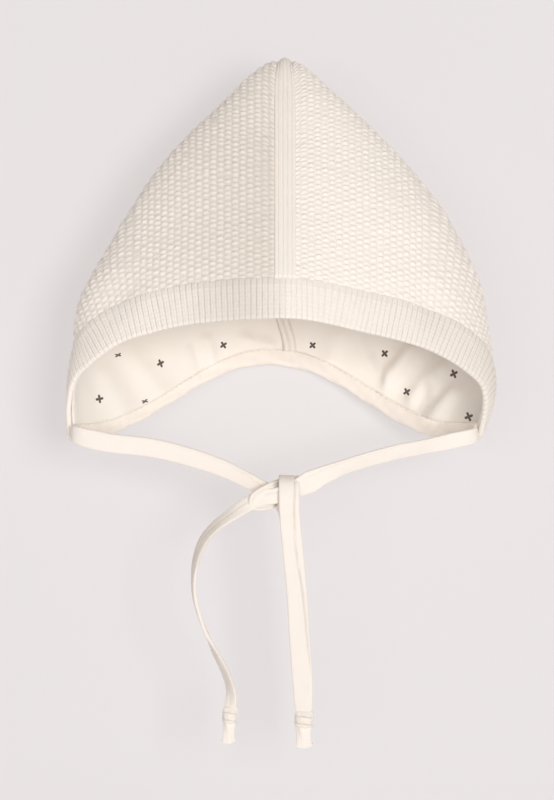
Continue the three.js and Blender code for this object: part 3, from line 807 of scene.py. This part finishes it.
def mossPanel(side, name, node):
    rng = np.random.default_rng(11 + side)
    firstShare = (hood["stripHalfWidth"] - hood["overlap"]) / faceLength
    lastShare = lowestShare
    evenShares = np.linspace(firstShare, lastShare, 400)
    crowding = np.cumsum(mix(1, moss["fanned"], ramp(evenShares, *moss["fansOut"])))
    crowding = (crowding - crowding[0]) * (evenShares[1] - evenShares[0])
    columnCount = round(crowding[-1] * faceLength / moss["column"])
    place = np.linspace(0, crowding[-1], columnCount * moss["acrossSamples"] + 1)
    shares = np.interp(place, crowding, evenShares)
    columns = knitColumns(side, shares)
    start = hood["bandWidth"] - moss["underBand"]
    ends = lengthAtAcross(columns, hood["stripHalfWidth"] - hood["overlap"])
    rowCount = round(np.mean(ends - start) / moss["row"])
    part = np.linspace(0, 1, rowCount * moss["alongSamples"] + 1)
    distances = start + (ends - start)[:, None] * part
    point, normal = clothGrid(side, shares, distances)
    u = (np.arange(len(shares)) / moss["acrossSamples"])[:, None] + 0 * part
    v = (np.arange(len(part)) / moss["alongSamples"])[None, :] + 0 * u
    wide = 1 - ramp(distances, moss["wideUntil"], moss["narrowFrom"])
    ovalU = mix(moss["oval"][0], moss["wideOval"][0], wide)
    ovalV = mix(moss["oval"][1], moss["wideOval"][1], wide)
    strength = rng.normal(1, moss["spread"][0], (columnCount + 4, rowCount + 4))
    shift = rng.normal(0, moss["spread"][1], (columnCount + 4, rowCount + 4))
    height = np.zeros_like(u)
    for step in (-1, 0, 1):
        column = np.floor(u + 1e-6).astype(int) + step
        du = u - column - 0.5
        staggered = v + 0.5 * (column % 2)
        row = np.floor(staggered + 1e-6).astype(int)
        key = (column + 1, row + 1)
        dv = staggered - row - 0.5 + shift[key] + moss["arch"] * (du * du - 0.1)
        far = (du / ovalU) ** 2 + (dv / ovalV) ** 2
        height = np.maximum(height, np.clip(1 - far, 0, 1) ** 0.75 * strength[key])
        # two slanting legs of yarn on each side of the bump
        leg = ((np.abs(du) - 0.2) / 0.17) ** 2 + ((np.abs(dv) - 0.5 + 0.3 * np.abs(du)) / 0.2) ** 2
        height = np.maximum(height, moss["legs"] * np.clip(1 - leg, 0, 1))
    edge = ramp(distances, start, start + moss["bandTuck"]) * (1 - ramp(part, 1 - moss["seamTuck"], 1))
    across = (shares * faceLength)[:, None]
    byStrip = ramp(across, across[0], across[0] + moss["sideTuck"])
    edge = edge * mix(1, byStrip, moss["meetsStrip"][side])
    edge = edge * (1 - ramp(across, across[-1] - moss["sideTuck"], across[-1]))
    offset = moss["valley"] + moss["bump"] * height + moss["unevenness"] * unevenness(point, *moss["waves"])
    offset = offset - moss["tuck"] * (1 - edge) + moss["grain"] * rng.normal(size=offset.shape)
    belowTip = levelRows[0, heightColumn] - seatHeight - point[..., 2]
    offset = offset - moss["tipDrop"] * hump(belowTip / moss["tipReach"])
    fine = point + normal * offset[..., None]
    i, j = moss["acrossSamples"], moss["alongSamples"]
    coarse = point[::i, ::j] - normal[::i, ::j] * (hood["wall"] - 0.1)
    points, faces = closedSheet(fine, coarse, i, j)
    # painted shade: in the pits, over regions of the panel and in the hollow beside the strip
    depth = np.clip(1 - height * moss["pitEdge"], 0, 1) * tableAt(moss["shade"][side], shares)[:, None]
    hollow = hump(across / moss["hollowWidth"]) * (1 - ramp(distances, *moss["hollowFades"]))
    depth = depth + tableAt(moss["toneAndShade"][side], shares)[:, None] + moss["besideStrip"][side] * hollow
    piece = makePiece(name, points, faces, "mossYarn", [node], depth)


mossPanel(-1, "mossPanelLeft", "panel_left")
mossPanel(1, "mossPanelRight", "panel_right")

rib = {
    "pitch": 2.4,
    "samples": 10,
    "valley": -0.35,
    "height": 0.75,
    "fullness": 2.4,
    "middle": 0.28,  # the fine line along the middle of each rib
    "middleWidth": 0.22,
    "stitch": 1.9,
    "stitchHeight": 0.1,
    "wobble": 0.05,
    "wobbleWaves": (14, 5),
    "unevenness": 0.25,
    "waves": (30, 6),
    "stand": 0.3,  # how far the band stands out of the moss knit
    "inside": (0.1, 0.25),  # height of its inner side, and how much less on each rib
    "lean": 1.1,
    "pitEdge": 1.25,
    "plainFrom": {-1: 0.79, 1: 0.86},  # share of the face edge where the ribs fade on each side
    # painted shade between the ribs at shares of the face edge, on each side
    "shade": {-1: [(0, 0.7), (0.08, 1.0), (0.4, 0.95), (0.6, 0.6), (1, 0.45)],
              1: [(0, 0.55), (0.2, 0.4), (0.4, 0.8), (0.85, 0.9), (1, 0.5)]},
    "hollow": 0.42,  # painted shade in the hollow left of the strip
    "hollowPlace": (0.15, 0.13),  # its middle and its reach, in shares of the face edge
    # painted shade over the band, by region
    "toneAndShade": {-1: [(0, 0.1), (0.3, 0.1), (0.45, 0), (1, 0)],
             1: [(0, 0.05), (0.4, 0.2), (0.8, 0.3), (1, 0.25)]},
    "topDrop": 0.45,  # how much lower the band lies where it meets the moss knit
}


# Height of a rib from 0 to 1, from the place across it in ribs and the distance along it
def ribHeight(u, along):
    a = 2 * np.abs(u - np.floor(u) - 0.5)
    rounded = np.sqrt(np.clip(1 - a ** rib["fullness"], 0, 1)) - rib["middle"] * hump(a / rib["middleWidth"])
    chevron = np.cos(2 * math.pi * (along / rib["stitch"] + 0.45 * a)) * (1 - a * a)
    return rounded + rib["stitchHeight"] / rib["height"] * chevron


# How far each rib leans from the columns of knit to stand at right angles to the face edge
def ribLean(side, shares, last):
    point = clothGrid(side, shares, np.tile([0.0, 2.0], (len(shares), 1)))[0]
    edge = unit(np.gradient(point[:, 0], axis=0))
    up = (point[:, 1] - point[:, 0]) / 2
    even = np.convolve(-(edge * up).sum(1), np.ones(41) / 41, "same")
    return rib["lean"] * even * ramp(shares, 0.08, 0.2) * (1 - ramp(shares, last - 0.3, last - 0.02))


# The band's section, down the outside, round the edge and up the inside: distance along the cloth,
# offset from it and how much of the ribs there is
def bandSection():
    width, stand = hood["bandWidth"], rib["stand"]
    half = hood["wall"] / 2
    rows = [(width + 0.2, -1.6, 0), (width + 0.7, -1.0, 0), (width + 0.5, -0.35, 0.4)]
    for along in np.linspace(width, half, 46):
        rows.append((along, stand - rib["topDrop"] * float(ramp(along, width - 3, width)), 1))
    for turn in np.linspace(0, math.pi, 10)[1:-1]:
        rows.append((half - half * math.sin(turn), stand - half + half * math.cos(turn), 1))
    for along in np.linspace(half, width, 12):
        rows.append((along, stand - hood["wall"], 0.7))
    return np.array(rows).T


def frontBand():
    along, offset, ribbed = bandSection()
    last = lowestShare
    count = round(last * faceLength / rib["pitch"])
    shares = np.linspace(0, last, count * rib["samples"] + 1)
    grids = []
    for side in (-1, 1):
        point, normal = clothGrid(side, shares, np.tile(along, (len(shares), 1)))
        leant = shares[:, None] + ribLean(side, shares, last)[:, None] * along / faceLength
        for values in (point, normal):
            straight = values.copy()
            for j, k in np.ndindex(len(along), 3):
                values[:, j, k] = np.interp(leant[:, j], shares, straight[:, j, k])
        u = np.arange(len(shares))[:, None] / rib["samples"]
        u = u + rib["wobble"] * unevenness(point, *rib["wobbleWaves"])
        plain = ramp(shares, rib["plainFrom"][side], rib["plainFrom"][side] + 0.07)[:, None]
        height = mix(ribHeight(u, along[None, :]), 0.75, plain)
        outward = offset + ribbed * (rib["valley"] + rib["height"] * height)
        outward = outward + rib["unevenness"] * unevenness(point, *rib["waves"])
        onEdge = (along < hood["wall"] / 2) | (np.arange(len(along)) > len(along) - 13)
        inward = offset + ribbed * (rib["inside"][0] - rib["inside"][1] * height)
        final = np.where(onEdge & (offset < -0.5), inward, outward)
        # painted shade between the ribs, over regions of the band and in the hollow left of the strip
        shade = tableAt(rib["shade"][side], shares)[:, None] * np.clip(1 - rib["pitEdge"] * height, 0, 1)
        shade = shade + tableAt(rib["toneAndShade"][side], shares)[:, None]
        if side < 0:
            middle, reach = rib["hollowPlace"]
            shade = shade + rib["hollow"] * hump((shares - middle) / reach)[:, None]
        grids.append((point + normal * final[..., None], shade))
    grid = np.concatenate([grids[0][0][::-1], grids[1][0][1:]])
    depth = np.concatenate([grids[0][1][::-1], grids[1][1][1:]])
    points, faces = closedRun(grid)
    piece = makePiece("frontBand", points, faces, "ribYarn", ["front_band"], depth)


frontBand()

strip = {
    "ribs": 5,
    "halfWidth": 5.0,
    "valley": 0.2,
    "height": 0.5,
    "under": 1.6,
    "stations": 470,
    "unevenness": 0.2,
    "waves": (30, 8),
    "endLength": 1.5,
    "edgeWidth": 0.9,
    "edgeDrop": 0.9,
    "rightDrop": 0.55,  # share of it at the right edge, which lies flatter
    "shade": 0.32,
    "toneAndShade": 0.1,
    "tipDrop": 2.2,  # lower at its edges near the point, which keeps the point sharp
    "tipReach": 8,
    "tipMiddle": 0.15,  # share of that drop along its middle
    "tipNarrow": 0.18,
}


# One lengthwise line of the strip: up the ridge, over the point, down the centre back
def stripLine(across, stations, startLevel, endLevel):
    side = -1 if across < 0 else 1
    top = levelOfWidth(abs(across), side)
    up = np.linspace(startLevel, top, 300)
    down = np.linspace(top, endLevel, 300)[1:]
    level = np.concatenate([up, down])
    turn = angleFor(abs(across), levelAt(level, side)[1])
    angle = np.where(np.arange(len(level)) < len(up), turn, math.pi - turn)
    length = runningLength(hoodPoint(side, angle, level))
    at = np.linspace(0, length[-1], stations)
    angle = np.interp(at, length, angle)
    level = np.interp(at, length, level)
    return hoodPoint(side, angle, level), hoodNormal(side, angle, level), at


def crownStrip():
    samples = strip["ribs"] * 8
    across = np.linspace(-strip["halfWidth"], strip["halfWidth"], samples + 1)
    bandTop = clothGrid(1, [0], np.array([[hood["bandWidth"] - 0.5]]))[0][0, 0, 2] + seatHeight
    startLevel = float(levelOfHeight(bandTop))
    endLevel = float(onGuide(1, "seam", "seamLevel", lowestShare))
    lines = [stripLine(a if a else 1e-4, strip["stations"], startLevel, endLevel) for a in across]
    point = np.array([line[0] for line in lines]).transpose(1, 0, 2)
    normal = np.array([line[1] for line in lines]).transpose(1, 0, 2)
    along = np.array([line[2] for line in lines]).T
    # neighbouring lines share their normals, so that the edge stays even where the surface turns
    normal = unit(normal + np.roll(normal, 1, 0) + np.roll(normal, -1, 0))
    u = np.linspace(0, strip["ribs"], samples + 1)[None, :]
    height = ribHeight(u, along)
    rounding = ramp(np.abs(across), strip["halfWidth"] - strip["edgeWidth"], strip["halfWidth"])[None, :]
    rounding = rounding * np.where(across > 0, strip["rightDrop"], 1)
    end = strip["endLength"]
    ends = 1 - ramp(along, 0, end) * (1 - ramp(along, along[-1:] - end, along[-1:]))
    offset = strip["valley"] + strip["height"] * height - strip["edgeDrop"] * np.maximum(rounding, ends)
    offset = offset + strip["unevenness"] * unevenness(point, *strip["waves"])
    tip = hump((point[..., 2] - point[..., 2].max()) / strip["tipReach"])
    fromMiddle = np.abs(across[None, :] / strip["halfWidth"])
    offset = offset - strip["tipDrop"] * tip * (strip["tipMiddle"] + fromMiddle ** 1.5)
    point[..., 0] -= strip["tipNarrow"] * tip * across[None, :]
    under = point[:, ::-8] - normal[:, ::-8] * strip["under"]
    grid = np.concatenate([point + normal * offset[..., None], under], 1)
    # painted shade between the ribs and on the hidden underside, and an even darkening of the whole strip
    depth = np.concatenate([np.clip(1 - rib["pitEdge"] * height, 0, 1), np.ones(under.shape[:2])], 1)
    depth = depth * strip["shade"] + strip["toneAndShade"]
    points, faces = closedRun(grid)
    piece = makePiece("crownStrip", points, faces, "ribYarn", ["crown_strip"], depth)


crownStrip()
print("knitted pieces made")

lining = {
    "offset": 3.0,  # outer side of the lining, behind the knit's own outer surface
    "wall": 1.0,
    "setback": 2.2,
    "cell": 1.3,
    "edgeRoll": 1.0,  # the lining's edge rests on the band
    "unevenness": 0.5,
    "waves": (42, 21),
    "coarser": 4,  # cells of its hidden side are this many times wider
    "edgeWidth": 2.5,
    "deepest": -0.55,  # hollow of the cloth at which it meets the knit
    "foldShade": 0.13,  # painted shade in the hollows
    "pale": (0.97, 0.93, 0.865, 1),
    # painted shade over the cloth from left to right, heaviest at the right
    "toneAndShade": [(-90, 0.32), (-50, 0.3), (-30, 0.05), (0, 0), (28, 0), (50, 0.15), (65, 0.42), (82, 0.7)],
}

# Soft folds of the lining at the back: from x and height, to x and height, rise, radius
foldRows = [
    (-45.5, 43, -42, 33, -2.8, 1.8), (-38, 46, -35, 34, 2.4, 3.4), (-20, 47, -8, 44, 2.4, 2.8),
    (-16, 52, -14, 46, -1.4, 2.6), (-72, 36, -60, 22, 1.8, 5.5), (-86, 30, -78, 14, 1.8, 6.0),
    (38, 48, 40, 38, -1.6, 3.0), (42, 38, 46, 26, -2.6, 2.6), (61, 42, 48, 26, 4.2, 4.2),
    (54, 46, 50, 38, -1.8, 3.2), (73, 32, 62, 18, 3.8, 4.5), (67, 24, 64, 15, -3.4, 2.8),
    (79, 20, 70, 8, 3.2, 4.2), (24, 48, 22, 38, 1.8, 4.4), (70, 38, 72, 30, -2.0, 3.2),
]

# Little printed crosses of the lining that can be seen from the front: x, height, tilt, size,
# and how tall they look where the cloth tilts away
crossRows = [
    (12.6, 43.6, 40, 0.78, 1), (46, 39.6, 40, 0.9, 0.95), (77, 30, 25, 0.95, 1),
    (56, 21.8, 30, 0.9, 0.95), (83, 10.4, 20, 0.95, 1), (-29, 43.6, 35, 0.8, 1),
    (-58, 35, 25, 0.88, 1), (-77, 38.6, 50, 0.9, 0.5), (-85, 18.5, 10, 0.88, 1),
    (-65, 17.4, 55, 0.88, 0.5),
]
cross = {
    "size": 2.25,  # from the middle to the end of a petal
    "spacing": 31,
    "rowHeight": 17,
    "lowestRow": {1: 58, -1: 76},  # height of the repeat's first row, at the back and in front
    "highestRow": 160,
    "turns": (25, 20, 3),  # tilt of the first, change to the next, and how many there are
    "sideAt": 97,  # how far from the middle the cloth has turned to the side
    "ink": (0.105, 0.083, 0.072, 1),
    "palerInk": (0.11, 0.09, 0.08, 1),
}


# The table's crosses, and a half-drop repeat above them at the back (1) and in front (-1)
def crossPlaces():
    rows = [(x, height, tilt, 1, size, tall) for x, height, tilt, size, tall in crossRows]
    first, change, count = cross["turns"]
    for side, lowest in cross["lowestRow"].items():
        for row, height in enumerate(range(lowest, cross["highestRow"], cross["rowHeight"])):
            drop = row % 2
            for k in range(-4, 5):
                tilt = first + change * ((k + drop * (side > 0)) % count)
                rows.append(((k + 0.5 * drop) * cross["spacing"], height, tilt, side, 1, 1))
    return np.array(rows)


# Places on the print, in petal lengths from the nearest cross, for each corner of each face
def addPrint(mesh):
    points = np.empty(len(mesh.vertices) * 3)
    mesh.vertices.foreach_get("co", points)
    points = points.reshape(-1, 3) / mm
    loops = np.empty(len(mesh.loops), int)
    mesh.loops.foreach_get("vertex_index", loops)
    starts = np.empty(len(mesh.polygons), int)
    totals = np.empty(len(mesh.polygons), int)
    mesh.polygons.foreach_get("loop_start", starts)
    mesh.polygons.foreach_get("loop_total", totals)
    centres = np.add.reduceat(points[loops], starts) / totals[:, None]
    places = crossPlaces()
    isBack = np.where(centres[:, 1] > 0, 1, -1)[:, None]
    apart = np.hypot(centres[:, :1] - places[:, 0], centres[:, 2:] + seatHeight - places[:, 1])
    nearest = np.argmin(apart + 1e3 * (places[:, 3] != isBack), 1)
    owner = np.repeat(nearest, totals)
    side = np.repeat(isBack[:, 0], totals)
    away = points[loops][:, [0, 2]] - places[owner, :2] + np.array([0, seatHeight])
    # distances across grow where the cloth turns to the side, so the print keeps its width there
    steep = 1 / np.sqrt(np.clip(1 - (places[owner, 0] / cross["sideAt"]) ** 2, 0.7, 1))
    away[:, 0] *= steep * side
    away[:, 1] += 0.35 * away[:, 0] * (places[owner, 5] - 1)
    away[:, 1] /= places[owner, 5]
    turn = np.radians(places[owner, 2])
    local = np.stack([
        away[:, 0] * np.cos(turn) + away[:, 1] * np.sin(turn),
        away[:, 1] * np.cos(turn) - away[:, 0] * np.sin(turn),
        np.zeros(len(loops)),
    ], 1) / (cross["size"] * places[owner, 4:5])
    layer = mesh.attributes.new("print", "FLOAT_VECTOR", "CORNER")
    layer.data.foreach_set("vector", local.ravel())


petal = {
    "middle": 0.56,  # of each lobe, in petal lengths from the cross's own middle
    "half": (0.44, 0.29),
    "squareness": 2.6,
    "neck": (0.7, 0.13),  # half length and half width of the bar that joins the two lobes
}


# Two opposite petals of a cross: less than 1 inside them, more outside
def petals(tree, along, across):
    far = mathNode(tree, "ABSOLUTE", along)
    near = mathNode(tree, "ABSOLUTE", across)
    lobe = mathNode(tree, "ABSOLUTE", mathNode(tree, "SUBTRACT", far, petal["middle"]))
    powers = [
        mathNode(tree, "POWER", mathNode(tree, "DIVIDE", distance, half), petal["squareness"])
        for distance, half in zip((lobe, near), petal["half"])]
    bars = [mathNode(tree, "DIVIDE", distance, half) for distance, half in zip((far, near), petal["neck"])]
    return mathNode(tree, "MINIMUM", mathNode(tree, "ADD", *powers), mathNode(tree, "MAXIMUM", *bars))


# The crosses go on the lining's material, over the colour that it has
def printCrosses():
    tree = bpy.data.materials["liningJersey"].node_tree
    shader = tree.nodes["Principled BSDF"]
    cloth = shader.inputs["Base Color"].links[0].from_socket
    split = tree.nodes.new("ShaderNodeSeparateXYZ")
    tree.links.new(attributeNode(tree, "print").outputs["Vector"], split.inputs[0])
    x, y = split.outputs[0], split.outputs[1]
    shape = mathNode(tree, "MINIMUM", petals(tree, x, y), petals(tree, y, x))
    soak = mathNode(tree, "MULTIPLY", noiseNode(tree, 0.7, 2), 0.5)
    edge = tree.nodes.new("ShaderNodeMapRange")
    setInputs(edge, {"From Min": 1.25, "From Max": 0.85})
    tree.links.new(mathNode(tree, "SUBTRACT", mathNode(tree, "ADD", shape, soak), 0.25), edge.inputs["Value"])
    toneAndShade = mixColour(tree, 0.4, cloth, lining["pale"])
    ink = mixColour(tree, noiseNode(tree, 0.5, 1), cross["ink"], cross["palerInk"])
    tree.links.new(mixColour(tree, edge.outputs[0], toneAndShade, ink), shader.inputs["Base Color"])


printCrosses()


def distanceToLine(x, z, x0, z0, x1, z1):
    dx, dz = x1 - x0, z1 - z0
    t = np.clip(((x - x0) * dx + (z - z0) * dz) / (dx * dx + dz * dz), 0, 1)
    return np.hypot(x - x0 - t * dx, z - z0 - t * dz)


# How far the lining hangs inwards at each point, and how much of a hollow is levelled off
def liningSlack(point):
    x, z = point[..., 0], point[..., 2] + seatHeight
    slack = lining["unevenness"] * unevenness(point, *lining["waves"])
    isBack = ramp(point[..., 1], 5, 20)
    for x0, z0, x1, z1, rise, radius in foldRows:
        slack = slack + isBack * rise * hump(distanceToLine(x, z, x0, z0, x1, z1) / radius)
    # the knit behind it holds the cloth, so a hollow levels off there
    above = slack - lining["deepest"]
    level = lining["deepest"] + 0.5 * (above + np.sqrt(above * above + 0.25))
    return level, level - slack


def liningHalf(side, name, node):
    first = 0.05 / faceLength
    last = bindingShare + 0.5 / faceLength
    n = lining["coarser"]
    count = round(last * faceLength / lining["cell"] / n) * n
    shares = np.linspace(first, last, count + 1)
    columns = knitColumns(side, shares)
    ends = lengthAtAcross(columns, 0.05)
    rows = round(float(np.mean(ends)) / lining["cell"] / n) * n
    part = np.linspace(0, 1, rows + 1)
    distances = lining["setback"] + (ends - lining["setback"])[:, None] * part
    point, normal = clothGrid(side, shares, distances)
    edge = ramp(distances, lining["setback"], lining["setback"] + lining["edgeWidth"])
    slack, hollow = liningSlack(point)
    inner = lining["offset"] + lining["wall"] + slack * edge - lining["edgeRoll"] * (1 - edge)
    fine = point - normal * inner[..., None]
    outer = lining["offset"] - lining["edgeRoll"] * (1 - edge[::n, ::n])
    coarse = point[::n, ::n] - normal[::n, ::n] * outer[..., None]
    points, faces = closedSheet(fine, coarse, n, n)
    # painted shade by place across and in the hollows of the folds
    toneAndShade = tableAt(lining["toneAndShade"], fine[..., 0]) + lining["foldShade"] * hollow * edge
    piece = makePiece(name, points, faces, "liningJersey", [node], toneAndShade)
    addPrint(piece.data)


liningHalf(-1, "liningLeft", "lining_left")
liningHalf(1, "liningRight", "lining_right")

seam = {
    "span": (-4.4, 5.2),
    "samples": 33,
    "aside": -2.2,  # it lies a little to the left of the ridge
    "sway": 0.4,
    "swayLength": 9,
    "sunk": 0.5,  # how far its plain edges sink into the lining
    "behind": 0.2,
    "lobes": [(-1.6, 1.7, 3.25), (1.6, 1.7, 2.625)],  # place across, radius, rise
    "creases": [(-3.3, 1.1, 1.6), (0.1, 0.5, 0.3), (3.7, 1.5, 0.6)],  # place, radius, painted shade
    "slant": 4.6,  # how far the folded seam leans over on its last stretch down
    "slantLength": 22,
    "startHeight": 77,
    "stations": 260,
}


# Folded seam of the lining along the centre back and the ridge
def liningSeam():
    startLevel = float(levelOfHeight(seam["startHeight"]))
    endLevel = float(onGuide(1, "seam", "seamLevel", bindingShare + 0.5 / faceLength))
    across = np.linspace(*seam["span"], seam["samples"])
    point, normal, along = stripLine(1e-3, seam["stations"], startLevel, endLevel)
    lean = seam["slant"] * ramp(along, along[-1] - seam["slantLength"], along[-1]) + seam["aside"]
    sway = seam["sway"] * np.sin(along / seam["swayLength"])
    rise = np.zeros(len(across))
    for place, radius, height in seam["lobes"]:
        rise = np.maximum(rise, height * np.sqrt(np.clip(1 - ((across - place) / radius) ** 2, 0, 1)))
    depth = lining["offset"] + lining["wall"] - seam["sunk"] + rise
    inner = point[:, None] - normal[:, None] * depth[None, :, None]
    inner[..., 0] += across[None, :] + (lean + sway)[:, None]
    back = point[:, None] - normal[:, None] * (lining["offset"] + seam["behind"])
    back = back + np.array([1.0, 0, 0]) * (across[::-4] + lean[:, None])[..., None]
    grid = np.concatenate([inner, back], 1)
    points, faces = closedRun(grid)
    # painted shade in the creases of the folded seam
    shade = np.zeros(len(across))
    for place, radius, amount in seam["creases"]:
        shade = shade + amount * hump((across - place) / radius)
    shade = np.concatenate([np.tile(shade, (len(along), 1)), np.zeros(back.shape[:2])], 1)
    piece = makePiece("liningSeam", points, faces, "liningJersey", [], shade)
    layer = piece.data.attributes.new("print", "FLOAT_VECTOR", "CORNER")
    layer.data.foreach_set("vector", [9.0] * (3 * len(piece.data.loops)))  # far from any cross


liningSeam()
print("lining made")

binding = {
    "stations": 150,
    "outer": 0.55,
    "inner": 4.5,  # behind the knit's outer surface
    "top": 7.0,
    "pucker": 0.16,
    "stitchLength": 2.1,
    "stitchEvery": 2.9,
    "stitchShade": 0.45,
    "stitchRadius": 0.3,
}


# Along the neck edge: how far up the cloth, and how far out of its outer surface
def bindingSection():
    top, outer, inner = binding["top"], binding["outer"], -binding["inner"]
    middle = (outer + inner) / 2
    half = (outer - inner) / 2
    rows = [(top - 0.5, outer - 1.4), (top, outer - 0.8), (top, outer - 0.25), (top - 0.5, outer)]
    rows += [(up, outer) for up in np.linspace(top - 1.0, 2.4, 7)]
    for turn in np.linspace(math.pi / 2, -math.pi / 2, 13):
        rows.append((2.2 - 2.2 * math.cos(turn), middle + half * math.sin(turn)))
    rows += [(up, inner) for up in np.linspace(2.4, top - 1.0, 7)]
    rows += [(top - 0.5, inner), (top, inner + 0.25), (top, inner + 0.8), (top - 0.5, inner + 1.4)]
    return np.array(rows).T


# Points on the neck edge's cloth, from the left chin corner to the right one
def neckPoints(up, offset, stations):
    part = np.linspace(0, 1, stations)
    halves = []
    for side in (-1, 1):
        grid = []
        for height, out in zip(up, offset):
            share = 1 - height / faceLength
            column = knitColumns(side, [share])
            point, normal = clothGrid(side, [share], part[None, :] * column["length"][0, -1])
            grid.append(point[0] + normal[0] * out)
        halves.append(np.array(grid).transpose(1, 0, 2))
    return np.concatenate([halves[0], halves[1][::-1][1:]])


def neckBinding():
    up, offset = bindingSection()
    grid = neckPoints(up, offset, binding["stations"])
    middle = grid.mean(1, keepdims=True)
    along = runningLength(grid[:, 0])[:, None]
    turn = np.linspace(0, 2 * math.pi, grid.shape[1], endpoint=False)[None, :]
    ripple = 0.4 * np.sin(along / 0.95 + 2 * np.sin(along / 7))
    pucker = binding["pucker"] * (ripple + np.sin(along / 3.1 + 3 * turn))
    grid = drawnIn(grid + unit(grid - middle) * pucker[..., None], middle[:, 0][:, None], 2)
    points, faces = closedRun(grid)
    # painted shade in the dips of the puckered binding
    depth = np.clip(0.25 - pucker * 2, 0, 1) * 0.6
    piece = makePiece("neckBinding", points, faces, "tapeYarn", ["neck_binding"], depth)


# A short rounded stitch between two points
def capsule(start, end, normal, radius):
    across = np.cross(unit(end - start), normal)
    rings = []
    for share, size in ((0, 0.15), (0.12, 0.75), (0.35, 1), (0.65, 1), (0.88, 0.75), (1, 0.15)):
        turn = np.linspace(0, 2 * math.pi, 7)[:-1]
        ring = start + (end - start) * share + normal * radius * 0.5 * math.sin(math.pi * share)
        rings.append(ring + size * radius * (np.cos(turn)[:, None] * across + np.sin(turn)[:, None] * normal))
    return closedRun(np.array(rings))


# Needle stitches along the binding's upper edge, inside and outside
def bindingStitches():
    parts = []
    for out, sign in ((binding["outer"] + 0.05, 1), (-binding["inner"] - 0.05, -1)):
        line = neckPoints([binding["top"] - 0.7], [out], 500)[:, 0]
        deeper = neckPoints([binding["top"] - 0.7], [out - sign], 500)[:, 0]
        length = runningLength(line)
        at = 3.0
        while at < length[-1] - 4:
            start, end, back = (
                np.array([np.interp(place, length, column) for column in source.T])
                for place, source in ((at, line), (at + binding["stitchLength"], line), (at, deeper)))
            parts.append(capsule(start, end, unit(start - back), binding["stitchRadius"]))
            at += binding["stitchEvery"]
    points, faces = joined(parts)
    shade = np.full(len(points), binding["stitchShade"])
    makePiece("bindingStitches", points, faces, "tapeYarn", [], shade)


neckBinding()
bindingStitches()
print("binding made")

stage = {
    "wallBehind": 57,  # the sweep's upright part stands this far behind the origin
    "floorBelow": 420,
    "sweepRadius": 160,
    "halfWidth": 2500,
    "up": 1800,
    "forward": 3500,
    "colour": (0.34, 0.33, 0.332, 1),
    "glow": 0.565,  # part of its brightness that doesn't depend on the lamps
    "world": (0.83, 0.79, 0.79, 1),
    "worldStrength": 0.34,
    "key": {"place": (600, -2000, -40), "size": 640, "power": 19.5},
    "fill": {"place": (-560, -2250, -330), "size": 1500, "power": 20},
    "rear": {"place": (-750, 1500, 700), "size": 700, "power": 8},  # for the view from behind
}


def areaLamp(name, row):
    data = bpy.data.lights.new(name, "AREA")
    data.size = row["size"] * mm
    data.energy = row["power"]
    lamp = addObject(name, data)
    lamp.location = Vector(row["place"]) * mm
    aim = Vector(view["centre"]) * mm - lamp.location
    lamp.rotation_euler = aim.to_track_quat("-Z", "Y").to_euler()


# A pale sweep: floor, curve and wall; from behind, the wall lets the view through
def makeStage():
    radius = stage["sweepRadius"]
    y, z = stage["wallBehind"], -stage["floorBelow"]
    outline = [(y - stage["forward"], z), (y - radius, z)]
    for turn in np.linspace(0, math.pi / 2, 17)[1:]:
        outline.append((y - radius + radius * math.sin(turn), z + radius - radius * math.cos(turn)))
    outline.append((y, stage["up"]))
    points = [(side * stage["halfWidth"] * mm, py * mm, pz * mm) for side in (-1, 1) for py, pz in outline]
    count = len(outline)
    faces = [(k, k + count, k + count + 1, k + 1) for k in range(count - 1)]
    mesh = bpy.data.meshes.new("sweep")
    mesh.from_pydata(points, [], faces)
    mesh.polygons.foreach_set("use_smooth", [True] * len(mesh.polygons))
    material = bpy.data.materials.new("sweepPaper")
    material.use_nodes = True
    tree = material.node_tree
    shader = tree.nodes["Principled BSDF"]
    setInputs(shader, {
        "Base Color": stage["colour"], "Roughness": 1, "Specular IOR Level": 0,
        "Emission Color": stage["world"], "Emission Strength": stage["glow"]})
    clear = tree.nodes.new("ShaderNodeBsdfTransparent")
    choose = tree.nodes.new("ShaderNodeMixShader")
    tree.links.new(tree.nodes.new("ShaderNodeNewGeometry").outputs["Backfacing"], choose.inputs[0])
    tree.links.new(shader.outputs[0], choose.inputs[1])
    tree.links.new(clear.outputs[0], choose.inputs[2])
    tree.links.new(choose.outputs[0], tree.nodes["Material Output"].inputs["Surface"])
    mesh.materials.append(material)
    addObject("sweep", mesh)
    world = bpy.data.worlds.new("softWorld")
    world.use_nodes = True
    background = world.node_tree.nodes["Background"]
    setInputs(background, {"Color": stage["world"], "Strength": stage["worldStrength"]})
    bpy.context.scene.world = world
    for name in ("key", "fill", "rear"):
        areaLamp(name, stage[name])
    bpy.context.scene.view_settings.view_transform = "Standard"


makeStage()
print("stage and lamps made")
